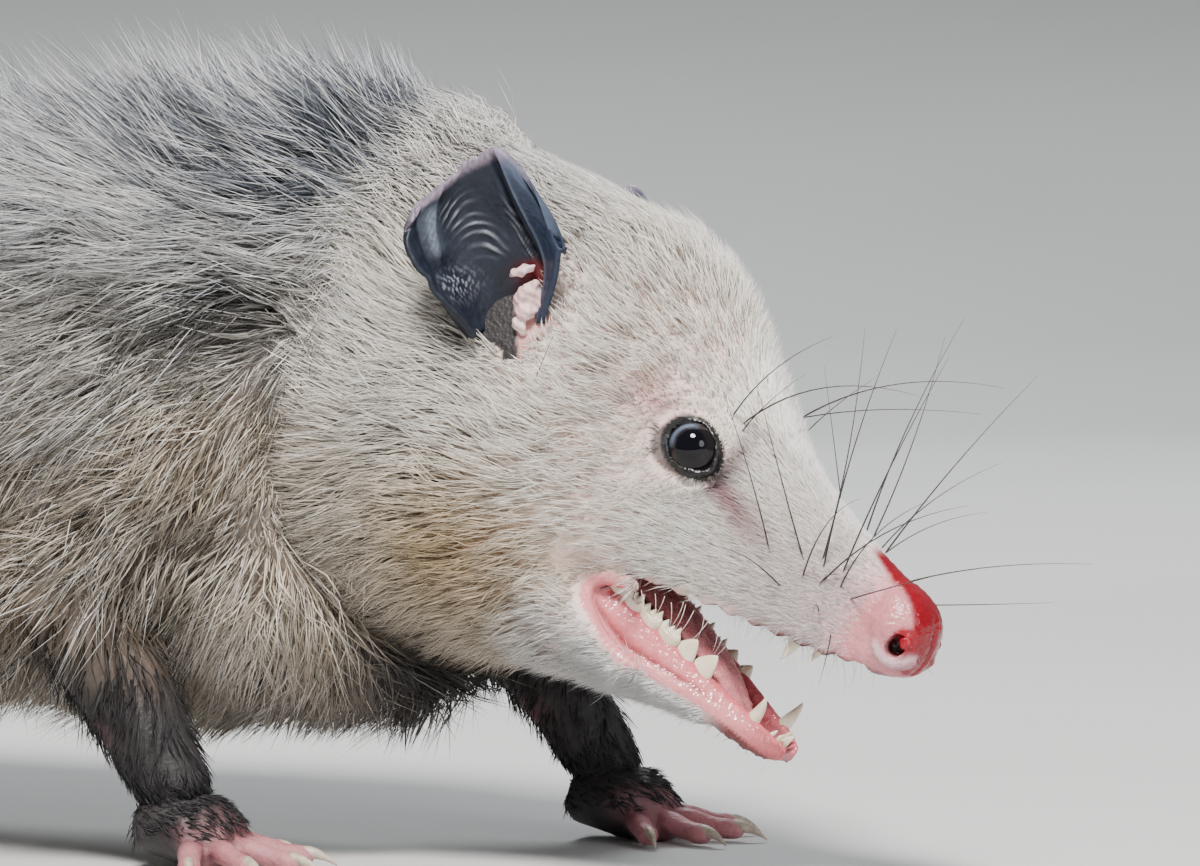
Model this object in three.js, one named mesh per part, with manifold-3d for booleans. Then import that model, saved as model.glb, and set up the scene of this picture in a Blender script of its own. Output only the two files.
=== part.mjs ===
// A life-size Virginia opossum, a large adult, standing low on all four feet with its head turned
// to its right and its mouth agape.
// Units are millimetres. +X is the way the body faces, +Y is its left, +Z is up, and the floor is
// at z = 0. The head is drawn in its own frame: origin at the tip of the nose, +x forward along the
// palate, +y left, +z up.
import * as THREE from "three";
import { mergeVertices } from "three/addons/utils/BufferGeometryUtils.js";
import Module from "manifold-3d";

const wasm = await Module();
wasm.setup();

// Driving dimensions
const GAP = 0.34; // between nodes that touch
const DEG = Math.PI / 180;
const NOSE_TIP = [161, -23, 48.5]; // where the head's origin stands in the body's frame
const HEAD_YAW = -10 * DEG; // turned to the animal's right
const HEAD_DOWN = 22 * DEG; // the palate slopes down
const HEAD_ROLL = -6 * DEG; // the right side is a little higher
const HEAD_LENGTH = 138; // tip of the nose to the nape
const JAW_HINGE = [-98, 0, -4];
const JAW_GAPE = 18.5 * DEG;
const JAW_LENGTH = 83; // hinge to the front of the chin
const MOUTH_CORNER = 70; // behind the tip of the nose
const MOUTH_WALL = 75; // where the throat closes the mouth
const NOSE_PAD = 10; // length of the bare nose
const EYE = { back: 60, side: 13.2, up: 18, radius: 6.3 };
const EARS = {
  right: { side: -1, back: 105, out: 29, up: 30, height: 31 },
  left: { side: 1, back: 113, out: 28, up: 28, height: 28 }, // folded back a little
};
const EAR_THICK = 1.6;
const TAIL_LENGTH = 330;
const CORE_SHARE = 0.42; // of the coat's depth that is packed solid under the locks
const LOCK = { length: 63, width: 49, thick: 11, spacing: 53.5 };
const NECK_LENGTH = 34; // nape to the front of the trunk

// Half width, crown, widest level and lower edge of the head against the distance behind the nose, with fur
const HEAD_WIDTH = [
  [10, 8.4], [18, 9.2], [28, 10.8], [38, 13], [50, 16.6], [60, 20.5], [72, 28], [85, 34], [100, 38],
  [118, 40], [138, 40],
];
const HEAD_TOP = [
  [10, 11.5], [18, 14.5], [28, 18.5], [40, 24.5], [50, 32], [60, 40], [72, 50], [86, 56], [102, 59],
  [120, 60], [138, 59],
];
const HEAD_MID = [[10, -0.5], [30, -1], [60, 1], [80, 0], [110, -3], [138, -6]];
const LIP_LINE = [[10, -9], [18, -10.8], [30, -11.8], [50, -13], [MOUTH_CORNER, -15]];
const THROAT = [[MOUTH_WALL, -36], [86, -43], [100, -48], [118, -52], [138, -56]];
// Half width and underside of the lower jaw against the distance in front of its hinge
const JAW_WIDTH = [[10, 20], [24, 22], [34, 21], [44, 18.5], [54, 15], [66, 11], [75, 8.2], [80, 6], [83, 3]];
const JAW_LOW = [[10, -30], [26, -28], [42, -20], [56, -13], [68, -9], [78, -7], [83, -5]];
// Half width, back and belly of the skin of the trunk against x, and the depth of the coat that covers it
const TRUNK_WIDTH = [
  [10, 42], [-15, 47], [-50, 49], [-100, 50], [-150, 53], [-200, 52], [-240, 44], [-268, 28], [-284, 14],
];
const TRUNK_TOP = [
  [10, 153], [-15, 152], [-50, 146], [-100, 150], [-150, 153], [-200, 151], [-240, 143], [-268, 122],
  [-284, 106],
];
const TRUNK_LOW = [
  [10, 32], [-15, 31], [-50, 35], [-100, 39], [-150, 41], [-200, 45], [-240, 56], [-268, 72], [-284, 84],
];
const COAT_DEPTH = [[10, 20], [-15, 22], [-60, 23], [-200, 23], [-250, 18], [-284, 7]];
const TRUNK_FRONT = 8;
const TRUNK_BACK = -284;
const BELLY_COAT = 0.55; // of the coat's depth on the back
const CHEST = 46; // how far the chest stands forward under the throat
const CHEST_LOCK = { width: 30, thick: 9, over: 15, floor: 9 }; // over: how far it stands off the packed coat

// Colour and roughness
const COLOURS = {
  coat: [0x8f8b84, 0.9],
  face: [0xdcd6ca, 0.85],
  nose: [0xb8404a, 0.35],
  ear: [0x23262e, 0.5],
  eye: [0x07070a, 0.08],
  mouth: [0xc9606a, 0.35],
  legs: [0x2a2725, 0.85],
  feet: [0x6a5552, 0.6],
  tail: [0xb9a79b, 0.6],
};

// Numbers and curves

// A smooth curve through the few points of a table, read at one place. The table runs either way.
function at(table, place) {
  const rows = table[0][0] < table[table.length - 1][0] ? table : [...table].reverse();
  const last = rows.length - 1;
  if (place <= rows[0][0]) return rows[0][1];
  if (place >= rows[last][0]) return rows[last][1];
  const i = rows.findIndex((row, k) => k < last && place <= rows[k + 1][0]);
  const slope = (k) => {
    const a = rows[Math.max(0, k - 1)];
    const b = rows[Math.min(last, k + 1)];
    return (b[1] - a[1]) / (b[0] - a[0]);
  };
  const span = rows[i + 1][0] - rows[i][0];
  const t = (place - rows[i][0]) / span;
  const rise = t * t * (3 - 2 * t);
  const fromLeft = t * (1 - t) ** 2 * slope(i) * span;
  const fromRight = t * t * (t - 1) * slope(i + 1) * span;
  return rows[i][1] * (1 - rise) + rows[i + 1][1] * rise + fromLeft + fromRight;
}

const mix = (a, b, t) => a + (b - a) * t;
const steps = (from, to, count) => Array.from({ length: count + 1 }, (_, i) => mix(from, to, i / count));
const power = (value, exponent) => Math.sign(value) * Math.abs(value) ** exponent;
const vec = (p) => new THREE.Vector3(...p);

// The cosine and sine at equal steps round a circle
function circle(sides) {
  const turns = Array.from({ length: sides }, (_, i) => (2 * Math.PI * i) / sides);
  return turns.map((a) => [Math.cos(a), Math.sin(a)]);
}

// A seeded random draw from 0 to 1, so that each build is the same
let seed = 20731;
function draw() {
  seed = (seed * 48271) % 2147483647;
  return seed / 2147483647;
}
const vary = (share) => 1 + share * (2 * draw() - 1);

// Solids

function solidOf(points, triangles) {
  const flat = points.flatMap((p) => [p.x, p.y, p.z]);
  let volume = 0;
  for (const [a, b, c] of triangles) volume += points[a].dot(points[b].clone().cross(points[c]));
  const faces = volume < 0 ? triangles.map(([a, b, c]) => [a, c, b]) : triangles;
  return new wasm.Manifold(
    new wasm.Mesh({
      numProp: 3,
      vertProperties: new Float32Array(flat),
      triVerts: new Uint32Array(faces.flat()),
    }),
  );
}

function solidOfGeometry(geometry) {
  const bare = geometry.clone();
  bare.deleteAttribute("normal");
  bare.deleteAttribute("uv");
  const merged = mergeVertices(bare, 1e-4);
  const place = merged.attributes.position;
  const pointOf = (_, i) => new THREE.Vector3().fromBufferAttribute(place, i);
  const points = Array.from({ length: place.count }, pointOf);
  const index = Array.from(merged.index.array);
  const triangles = [];
  for (let i = 0; i < index.length; i += 3) triangles.push(index.slice(i, i + 3));
  return solidOf(points, triangles);
}

// A skin over rings of equal count, closed by a fan to the middle of each end ring
function loft(rings) {
  const sides = rings[0].length;
  const points = rings.flat();
  const triangles = [];
  for (let j = 0; j + 1 < rings.length; j++)
    for (let k = 0; k < sides; k++) {
      const [a, b] = [j * sides + k, j * sides + ((k + 1) % sides)];
      triangles.push([a, b, a + sides], [b, b + sides, a + sides]);
    }
  for (const end of [0, rings.length - 1]) {
    const middle = rings[end].reduce((sum, p) => sum.add(p), new THREE.Vector3()).divideScalar(sides);
    points.push(middle);
    for (let k = 0; k < sides; k++) {
      const [a, b] = [end * sides + k, end * sides + ((k + 1) % sides)];
      triangles.push(end ? [a, b, points.length - 1] : [b, a, points.length - 1]);
    }
  }
  return solidOf(points, triangles);
}

// A round or oval tube along points, with a radius for each and its own flattening
function tube(path, radii, sides = 8, flat = 1, across = new THREE.Vector3(0, 1, 0)) {
  const rings = path.map((p, i) => {
    const ahead = path[Math.min(path.length - 1, i + 1)].clone().sub(path[Math.max(0, i - 1)]).normalize();
    const side = across.clone().addScaledVector(ahead, -across.dot(ahead)).normalize();
    const up = ahead.clone().cross(side);
    return circle(sides).map(([c, q]) =>
      p.clone().addScaledVector(side, radii[i] * c).addScaledVector(up, radii[i] * flat * q),
    );
  });
  return loft(rings);
}

const lineThrough = (points) => new THREE.CatmullRomCurve3(points.map(vec), false, "centripetal");
const curveOf = (points, count) => lineThrough(points).getSpacedPoints(count);

// The solid with each vertex moved out along its normal, to cut a neighbour clear of it
function grown(solid, by = GAP) {
  const mesh = solid.getMesh();
  const places = Array.from({ length: mesh.numVert }, (_, i) =>
    new THREE.Vector3().fromArray(mesh.vertProperties, i * mesh.numProp),
  );
  const normals = places.map(() => new THREE.Vector3());
  const triangles = [];
  for (let i = 0; i < mesh.triVerts.length; i += 3) {
    const t = Array.from(mesh.triVerts.slice(i, i + 3));
    const [a, b, c] = t.map((v) => places[v]);
    const normal = b.clone().sub(a).cross(c.clone().sub(a));
    t.forEach((v) => normals[v].add(normal));
    triangles.push(t);
  }
  places.forEach((p, i) => p.addScaledVector(normals[i].normalize(), by * 1.1));
  return solidOf(places, triangles);
}

const union = (solids) => solids.reduce((whole, piece) => whole.add(piece));

// The largest closed surface of a solid: it drops loose scraps and fills what a cut has sealed
function largest(solid) {
  const bodies = solid.decompose();
  return bodies.reduce((best, body) => (body.volume() > best.volume() ? body : best));
}

function cutBy(solid, ...cutters) {
  return largest(cutters.reduce((left, cutter) => left.subtract(grown(cutter)), solid));
}

// All that lies above the floor
function aboveFloor(solid) {
  const slab = new THREE.BoxGeometry(2000, 2000, 400).translate(0, 0, -200);
  return largest(solid.subtract(solidOfGeometry(slab)));
}

// The model's groups: the head turns on the neck, and the jaw on the head
const model = new THREE.Group();
const head = new THREE.Group();
head.position.set(...NOSE_TIP);
head.rotation.set(HEAD_ROLL, HEAD_DOWN, HEAD_YAW, "ZYX");
model.add(head);
const jaw = new THREE.Group();
jaw.position.set(...JAW_HINGE);
jaw.rotation.y = JAW_GAPE;
head.add(jaw);
model.updateMatrixWorld(true);

// A solid drawn in a group's own frame, carried to the body's frame
const carried = (solid, group) => solid.transform(group.matrixWorld.toArray());

// Head

const HEAD_SIDES = 22;

function lowerEdge(s) {
  if (s <= MOUTH_CORNER) return at(LIP_LINE, s);
  if (s >= MOUTH_WALL) return at(THROAT, s);
  const t = (s - MOUTH_CORNER) / (MOUTH_WALL - MOUTH_CORNER);
  return mix(at(LIP_LINE, MOUTH_CORNER), at(THROAT, MOUTH_WALL), t);
}

// One section of the head. In front of the mouth's corner its underside is the hollow of the palate
// inside the lips.
function headRing(s, x = -s) {
  const [width, top, mid, low] = [at(HEAD_WIDTH, s), at(HEAD_TOP, s), at(HEAD_MID, s), lowerEdge(s)];
  const inMouth = s <= MOUTH_CORNER ? 1 : 0;
  const square = inMouth ? 0.5 : 0.85;
  const vault = inMouth * 0.42 * width;
  return circle(HEAD_SIDES).map(([c, q]) => {
    if (q >= 0) return new THREE.Vector3(x, width * power(c, 0.95), mid + (top - mid) * q ** 0.95);
    const y = width * power(c, square);
    const inside = Math.max(0, 1 - (y / (0.86 * width)) ** 2);
    return new THREE.Vector3(x, y, mid - (mid - low) * Math.abs(q) ** square + vault * inside ** 0.7);
  });
}

function makeSkull() {
  const places = [
    ...steps(NOSE_PAD + GAP, 58, 7), ...steps(64, MOUTH_CORNER, 1), MOUTH_WALL, ...steps(82, HEAD_LENGTH, 5),
  ];
  return loft(places.map((s) => headRing(s)));
}

// The lids: an almond rim that stands round the eye, its long axis sloping down to the front corner
function lidRim(side) {
  const centre = new THREE.Vector3(-EYE.back, side * (EYE.side + 2.3), EYE.up);
  const out = new THREE.Vector3(0.22, side, 0.3).normalize();
  const slope = new THREE.Vector3(1, 0, -0.5);
  const along = slope.addScaledVector(out, -out.dot(slope)).normalize();
  const over = out.clone().cross(along);
  const turns = 12;
  const sides = 5;
  const points = [];
  const triangles = [];
  for (let i = 0; i < turns; i++) {
    const a = (2 * Math.PI * i) / turns;
    const reach = along.clone().multiplyScalar(7.4 * Math.cos(a)).addScaledVector(over, 5.7 * Math.sin(a));
    const radial = reach.clone().normalize();
    for (let k = 0; k < sides; k++) {
      const b = (2 * Math.PI * k) / sides;
      const place = centre.clone().add(reach).addScaledVector(radial, 1.9 * Math.cos(b));
      points.push(place.addScaledVector(out, 1.9 * Math.sin(b)));
      const [here, next] = [i * sides, ((i + 1) % turns) * sides];
      const up = (k + 1) % sides;
      triangles.push([here + k, next + k, here + up], [next + k, next + up, here + up]);
    }
  }
  return solidOf(points, triangles);
}

function makeEye(side) {
  const ball = new THREE.SphereGeometry(EYE.radius, 12, 7).rotateX(Math.PI / 2);
  return solidOfGeometry(ball.translate(-EYE.back, side * EYE.side, EYE.up));
}

// A tooth: a pointed cone on an oval foot, its foot sunk in the gum and its point leaning by lean
function tooth(foot, height, length, width, lean = [0, 0], down = false) {
  const way = down ? -1 : 1;
  const fang = [[-2.4, 0.9], [0, 1], [0.55 * height, 0.72], [height, 0.12]];
  const cusp = [[-2.4, 0.9], [0.3 * height, 1], [height, 0.25]];
  const tall = height > 4;
  const rings = (tall ? fang : cusp).map(([h, thick]) => {
    const bend = Math.max(0, h / height) ** 1.6;
    const middle = vec(foot).add(new THREE.Vector3(lean[0] * bend, lean[1] * bend, way * h));
    const across = ([c, q]) => new THREE.Vector3((length / 2) * thick * c, (width / 2) * thick * q, 0);
    return circle(tall ? 6 : 4).map((turn) => across(turn).add(middle));
  });
  return loft(rings);
}

function upperTeeth() {
  const teeth = [];
  for (const side of [-1, 1]) {
    const row = (s, up = 2.8) => [-s, side * (at(HEAD_WIDTH, s) * 0.74 - 1.2), at(LIP_LINE, s) + up];
    for (const s of [15, 18.5]) teeth.push(tooth(row(s), 2.6, 2.4, 1.8, [0, 0], true));
    teeth.push(tooth(row(27, 2.4), 6.2, 4, 3, [-1, side], true));
    for (const s of [37, 43]) teeth.push(tooth(row(s), 3, 4.4, 2.4, [0, 0], true));
    for (const s of [49, 55]) teeth.push(tooth(row(s), 2.4, 5.2, 3.4, [0, 0], true));
  }
  return teeth;
}

function makeNose() {
  const ringAt = (s, width, top, low) =>
    circle(18).map(([c, q]) => {
      const z = (top + low) / 2 + ((top - low) / 2) * power(q, 0.85);
      return new THREE.Vector3(-s, width * power(c, 0.85), z);
    });
  const pad = loft([
    ringAt(0, 3.8, 4, -3.4), ringAt(1, 6.2, 6.5, -5.4), ringAt(3, 7.8, 8.6, -7), ringAt(6, 8.5, 10.4, -8),
    ringAt(NOSE_PAD, 8.3, 11.4, -8.8),
  ]);
  const nostril = (side) => {
    const pit = new THREE.SphereGeometry(1, 8, 5).scale(4.2, 3, 2.1).rotateZ(-side * 55 * DEG);
    return solidOfGeometry(pit.rotateX(side * 18 * DEG).translate(-3.4, side * 6.8, -0.6));
  };
  const cleft = new THREE.CylinderGeometry(1, 1, 16, 6).scale(1.6, 1, 0.55).translate(0.4, 0, 0);
  const groove = solidOfGeometry(cleft.rotateX(Math.PI / 2));
  return largest(pad.subtract(nostril(1)).subtract(nostril(-1)).subtract(groove));
}

// An ear: a squat cup whose worn top edge slants down to the back. EAR_ARC and EAR_OPEN give the
// cup's radius in millimetres and half its opening in degrees against the share of its height.
const EAR_ARC = [[-0.15, 7], [0, 9], [0.25, 13], [0.6, 16], [0.85, 17], [1, 18]];
const EAR_OPEN = [[-0.15, 120], [0, 118], [0.25, 100], [0.6, 84], [0.85, 72], [1, 48]];

function makeEar({ side, back, out: outwards, up, height }) {
  const root = new THREE.Vector3(-back, side * outwards, up);
  const rise = new THREE.Vector3(-0.42, side * 0.3, 0.85).normalize();
  const faceWay = new THREE.Vector3(0.42, side * 0.85, -0.1);
  const out = faceWay.addScaledVector(rise, -faceWay.dot(rise)).normalize();
  const across = rise.clone().cross(out).multiplyScalar(side);
  const [columns, rows] = [10, 5];
  const middle = (u, v) => {
    const open = at(EAR_OPEN, v) * DEG;
    const arc = at(EAR_ARC, v);
    const slant = 1 - 0.14 * u - 0.06 * u * u;
    return root
      .clone()
      .addScaledVector(rise, height * v * slant)
      .addScaledVector(across, arc * Math.sin(open * u))
      .addScaledVector(out, arc * (1 - Math.cos(open * u)) - 4 + 3 * v * v);
  };
  const points = [];
  for (const face of [-1, 1])
    for (let j = 0; j <= rows; j++)
      for (let i = 0; i <= columns; i++) {
        const [u, v] = [mix(-1, 1, i / columns), mix(-0.15, 1, j / rows)];
        const alongU = middle(u + 0.01, v).sub(middle(u - 0.01, v));
        const alongV = middle(u, v + 0.01).sub(middle(u, v - 0.01));
        const normal = alongU.cross(alongV).normalize();
        points.push(middle(u, v).addScaledVector(normal, (face * EAR_THICK) / 2));
      }
  const wide = columns + 1;
  const layer = wide * (rows + 1);
  const triangles = [];
  for (let j = 0; j < rows; j++)
    for (let i = 0; i < columns; i++) {
      const a = j * wide + i;
      triangles.push([a, a + 1, a + wide], [a + 1, a + wide + 1, a + wide]);
      const b = a + layer;
      triangles.push([b, b + wide, b + 1], [b + 1, b + wide, b + wide + 1]);
    }
  const rim = [
    ...steps(0, columns, columns),
    ...steps(1, rows, rows - 1).map((j) => j * wide + columns),
    ...steps(columns - 1, 0, columns - 1).map((i) => rows * wide + i),
    ...steps(rows - 1, 1, rows - 2).map((j) => j * wide),
  ];
  rim.forEach((a, k) => {
    const b = rim[(k + 1) % rim.length];
    triangles.push([a, a + layer, b], [b, a + layer, b + layer]);
  });
  return solidOf(points, triangles);
}

// Lower jaw: a trough with a lip, a groove, a gum and the mouth's floor in each section
function jawRing(x) {
  const [width, low] = [at(JAW_WIDTH, x), at(JAW_LOW, x)];
  const open = Math.min(1, width / 10);
  const half = [
    [0.5, low], [0.86, low * 0.8 - 0.5], [1, low * 0.5 - 1.5], [1.02, -3.6], [0.94, -2.6],
    [0.84, -3.8 * open], [0.76, 0], [0.6, 0.2], [0.5, -5 * open],
  ];
  const right = half.map(([share, z]) => new THREE.Vector3(x, -share * width, z));
  const left = half.map(([share, z]) => new THREE.Vector3(x, share * width, z)).reverse();
  return [new THREE.Vector3(x, 0, low), ...right, new THREE.Vector3(x, 0, -5.6 * open), ...left];
}

function lowerTeeth() {
  const teeth = [];
  for (const side of [-1, 1]) {
    const row = (x) => [x, side * at(JAW_WIDTH, x) * 0.68, 0];
    for (const x of [34, 39.5, 45, 50]) teeth.push(tooth(row(x), 3.4, 5.6, 3.2));
    teeth.push(tooth(row(55.6), 4.8, 4.8, 2.6, [0.8, 0]));
    teeth.push(tooth([74.4, side * 5.2, -0.5], 6.8, 3.8, 3.2, [0.4, side * 1.4]));
    teeth.push(tooth([79, side * 2, -0.8], 2.2, 3, 1.5, [0.4, 0]));
  }
  return teeth;
}

const makeJawBody = () => loft([...steps(12, 75, 8), 79, 81.8, JAW_LENGTH].map(jawRing));

function makeTongue() {
  const path = curveOf([[16, 0, -3.4], [40, 0, -2.2], [56, 0, -2.6], [70, 0, -2.4]], 7);
  return tube(path, [7, 7.6, 7, 6.2, 5.4, 4.8, 3.8, 2], 10, 0.38);
}

// Trunk and neck, each a skin, a core of packed coat over it, and locks

// A point of the trunk over its skin. a is the angle round it, 0 at its left side and 90 degrees at its back.
function trunkPoint(x, a, coat) {
  const inside = Math.min(TRUNK_FRONT, Math.max(TRUNK_BACK, x));
  const [width, top, low] = [at(TRUNK_WIDTH, inside), at(TRUNK_TOP, inside), at(TRUNK_LOW, inside)];
  const depth = coat * at(COAT_DEPTH, inside) * mix(BELLY_COAT, 1, Math.min(1, 0.75 + 0.6 * Math.sin(a)));
  const middle = (top + low) / 2 - 4;
  const high = Math.sin(a) > 0 ? top - middle : middle - low;
  return new THREE.Vector3(
    x,
    (width + depth) * power(Math.cos(a), 0.92),
    middle + (high + depth) * power(Math.sin(a), 0.92),
  );
}

// The neck runs from the trunk's front to the nape, so it turns and tips with the head.
function neckPoint(t, a, coat) {
  const base = trunkPoint(TRUNK_FRONT, a, coat);
  const tables = [HEAD_WIDTH, HEAD_TOP, HEAD_MID, THROAT];
  const [width, top, mid, low] = tables.map((table) => at(table, HEAD_LENGTH));
  const over = 4 * (coat - 1);
  const nape = new THREE.Vector3(
    -HEAD_LENGTH,
    (width + over) * power(Math.cos(a), 0.92),
    mid + (Math.sin(a) > 0 ? top - mid + over : mid - low + over) * power(Math.sin(a), 0.92),
  ).applyMatrix4(head.matrixWorld);
  const ruff = Math.sin(a) < 0 ? 5 - 9 * Math.sin(a) : 5;
  const swell = ruff * Math.sin(Math.PI * t) * (0.4 + 0.6 * coat);
  const chest = CHEST * Math.sin(Math.PI * t) * Math.max(0, -Math.sin(a)) ** 1.5;
  const middle = new THREE.Vector3(chest, swell * Math.cos(a), swell * Math.sin(a));
  return base.lerp(nape, t).add(middle);
}

// A point of the coat by the distance l behind the nape, over neck and trunk alike
function coatPoint(l, a, coat) {
  if (l < NECK_LENGTH) return neckPoint(1 - l / NECK_LENGTH, a, coat);
  return trunkPoint(TRUNK_FRONT - (l - NECK_LENGTH), a, coat);
}

// A point of a lock that hangs down the chest from place t of the neck
function chestPoint(t, a, down, coat) {
  const out = new THREE.Vector3(1, 0.7 * Math.cos(a), 0).normalize();
  const root = neckPoint(t, a, CORE_SHARE);
  return root.clone().addScaledVector(out, CHEST_LOCK.over * coat).setZ(root.z - down);
}

// A lock: it rises out of the core, bends down along the lie of the coat and tapers to its tip.
// reach is the coat level of the tip, and more widens the lock, to cut a neighbour clear of it.
const LOCK_SECTION = [[-1, -0.5], [1, -0.5], [0, 1]]; // across and out: flat below, with a ridge above
const LOCK_SHAPE = [[0, -0.1, 0.6, 0.7], [0.3, 0.66, 1, 1], [0.7, 0.94, 0.74, 0.7], [1, 1, 0.12, 0.2]];

function lock({ l, t, a, length, width, thick, reach, fall }, more = 0) {
  const place = ([share, coat]) => {
    if (t) return chestPoint(t, a, share * length, coat * reach);
    return coatPoint(l + share * length, a - fall * share * Math.cos(a), coat * reach);
  };
  const rings = LOCK_SHAPE.map((row, i) => {
    const centre = place(row);
    const before = place(LOCK_SHAPE[Math.max(0, i - 1)]);
    const ahead = place(LOCK_SHAPE[Math.min(LOCK_SHAPE.length - 1, i + 1)]).sub(before).normalize();
    const out = place([row[0], row[1] + 0.3]).sub(centre);
    out.addScaledVector(ahead, -out.dot(ahead)).normalize();
    const across = ahead.clone().cross(out);
    return LOCK_SECTION.map(([wide, high]) =>
      centre
        .clone()
        .addScaledVector(across, wide * ((width / 2) * row[2] + 4 * more))
        .addScaledVector(out, high * ((thick / 2) * row[3] + 2 * more))
        .addScaledVector(ahead, i === LOCK_SHAPE.length - 1 ? 2 * more : 0),
    );
  });
  return loft(rings);
}

// Rows of locks that overlap like tiles, set evenly round the body
function lockRows(places) {
  return places.flatMap((l, row) => {
    const round = steps(0, 2 * Math.PI, 24).reduce((sum, a, i, all) => {
      return i ? sum + coatPoint(l, a, 1).distanceTo(coatPoint(l, all[i - 1], 1)) : 0;
    }, 0);
    const count = Math.max(5, Math.round(round / LOCK.spacing));
    return Array.from({ length: count }, (_, i) => ({
      l: l + 5 * (draw() - 0.5),
      a: (2 * Math.PI * (i + 0.5 * (row % 2) + 0.3 * (draw() - 0.5))) / count,
      length: LOCK.length * vary(0.15),
      width: LOCK.width * vary(0.12),
      thick: LOCK.thick * vary(0.15),
      reach: vary(0.07),
      fall: 0.2 * vary(0.6),
    }));
  });
}

// Locks that hang down the chest between the forelegs
function chestLocks() {
  const places = [0.84, 0.6].flatMap((t, row) => steps(-60, 60, 4 - row).map((side) => [t, side]));
  return places.map(([t, side]) => {
    const a = (side - 90) * DEG;
    return {
      t,
      a,
      length: (neckPoint(t, a, CORE_SHARE).z - CHEST_LOCK.floor) * vary(0.1),
      width: CHEST_LOCK.width * vary(0.12),
      thick: CHEST_LOCK.thick * vary(0.15),
      reach: vary(0.1),
    };
  });
}

const NECK_FRONT = 0.992; // the nape, less the gap to the head
const NECK_BACK = 0.02;
const BODY_SIDES = 14;
const ringOf = (point, place, coat) =>
  Array.from({ length: BODY_SIDES }, (_, i) => point(place, (2 * Math.PI * i) / BODY_SIDES, coat));
const trunkPlaces = [TRUNK_FRONT, ...steps(-14, -246, 5), -264, TRUNK_BACK];
const makeTrunkCore = (coat) => loft(trunkPlaces.map((x) => ringOf(trunkPoint, x, coat)));
const makeNeckCore = (coat) => loft(steps(NECK_FRONT, NECK_BACK, 3).map((t) => ringOf(neckPoint, t, coat)));

// Legs and feet. side is 1 for the left and -1 for the right.
const FORE = {
  right: { side: -1, shoulder: [4, 27, 90], elbow: [-22, 42, 58], wrist: [1, 42, 17], turn: -8 },
  left: { side: 1, shoulder: [4, 30, 90], elbow: [34, 47, 58], wrist: [64, 43, 17], turn: 6 },
};
const HIND = {
  right: { side: -1, hip: [-214, 31, 96], knee: [-184, 43, 64], heel: [-232, 46, 19], turn: -12 },
  left: { side: 1, hip: [-206, 31, 96], knee: [-156, 43, 64], heel: [-196, 46, 19], turn: 10 },
};
const mirrored = (p, side) => [p[0], p[1] * side, p[2]];

// A leg in two lengths, each a tapering tube with rounded ends, joined at the elbow or the knee
function makeLeg(leg, joints, upper, lower) {
  const [top, bend, end] = joints.map((name) => vec(mirrored(leg[name], leg.side)));
  const limb = (from, to, radii, flat) => {
    const way = to.clone().sub(from);
    const length = way.length();
    const rings = [[-0.75, 0.5], [-0.3, 0.93], [0.3, 1], [1, 1], [1.35, 0.92], [1.75, 0.5]];
    const path = rings.map(([share]) => {
      const inside = Math.min(1, Math.max(0, share));
      const beyond = Math.min(0, share) * radii[0] + Math.max(0, share - 1) * radii[1];
      return from.clone().addScaledVector(way, inside + beyond / length);
    });
    const taper = (share) => mix(radii[0], radii[1], Math.min(1, Math.max(0, share)));
    return tube(path, rings.map(([share, part]) => part * taper(share)), 8, flat);
  };
  return [limb(top, bend, upper, 0.8), limb(bend, end, lower, 0.95)];
}

const makeForeleg = (leg) => makeLeg(leg, ["shoulder", "elbow", "wrist"], [22, 18], [16, 10.5]);
const makeHindleg = (leg) => makeLeg(leg, ["hip", "knee", "heel"], [32, 21], [17, 9.5]);

// A digit from its root: a knuckled tube that bends to the floor and ends in a claw, but for the bare big toe
function digit(root, angle, length, radius, clawed) {
  const way = new THREE.Vector3(Math.cos(angle), Math.sin(angle), 0);
  const across = new THREE.Vector3(-way.y, way.x, 0);
  const along = (share, z) => vec(root).setZ(z).addScaledVector(way, length * share);
  const toe = tube(
    [along(0, radius + 2.2), along(0.55, radius + 0.8), along(1.02, radius * 0.6)],
    [radius, radius, radius * 0.66], 6, 0.9, across,
  );
  if (!clawed) return toe;
  const claw = [along(0.88, radius * 1.05), along(1.3, radius * 0.35)];
  return toe.add(tube(claw, [radius * 0.5, 0.3], 4, 1, across));
}

// Five fingers spread like a star from a short palm
function makeForefoot(leg) {
  const [x, y] = mirrored(leg.wrist, leg.side);
  const turn = leg.turn * DEG;
  const middle = curveOf([[x - 6, y, 9], [x + 4, y, 8.4], [x + 14, y, 5]], 3);
  const palm = tube(middle, [8.5, 11, 12, 7], 8, 0.72);
  const fingers = [-58, -27, 0, 27, 60].map((spread, i) => {
    const angle = spread * DEG + turn;
    const root = [x + 5 + 7 * Math.cos(angle), y + 9 * Math.sin(angle), 0];
    return digit(root, angle, [13, 17, 18.5, 17, 13][i], 2.9, true);
  });
  return aboveFloor(union([palm, ...fingers]));
}

// A long sole with four toes ahead and a clawless big toe that stands inwards
function makeHindfoot(leg) {
  const [x, y] = mirrored(leg.heel, leg.side);
  const turn = leg.turn * DEG;
  const [c, q] = [Math.cos(turn), Math.sin(turn)];
  const ahead = (d, side = 0) => [x + d * c - side * q, y + d * q + side * c];
  const sole = tube(
    curveOf([[...ahead(-9), 8], [...ahead(8), 8.4], [...ahead(26), 6.4], [...ahead(38), 4]], 4),
    [7, 9.4, 10.4, 11.4, 7], 8, 0.66,
  );
  const toes = [-24, -8, 8, 24].map((spread, i) => {
    const angle = spread * DEG + turn;
    return digit([...ahead(31, 0.34 * spread), 0], angle, [16, 18, 18, 15][i], 3, true);
  });
  const bigToe = digit([...ahead(20, -leg.side * 6), 0], turn - leg.side * 78 * DEG, 17, 3.6, false);
  return aboveFloor(union([sole, ...toes, bigToe]));
}

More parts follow.
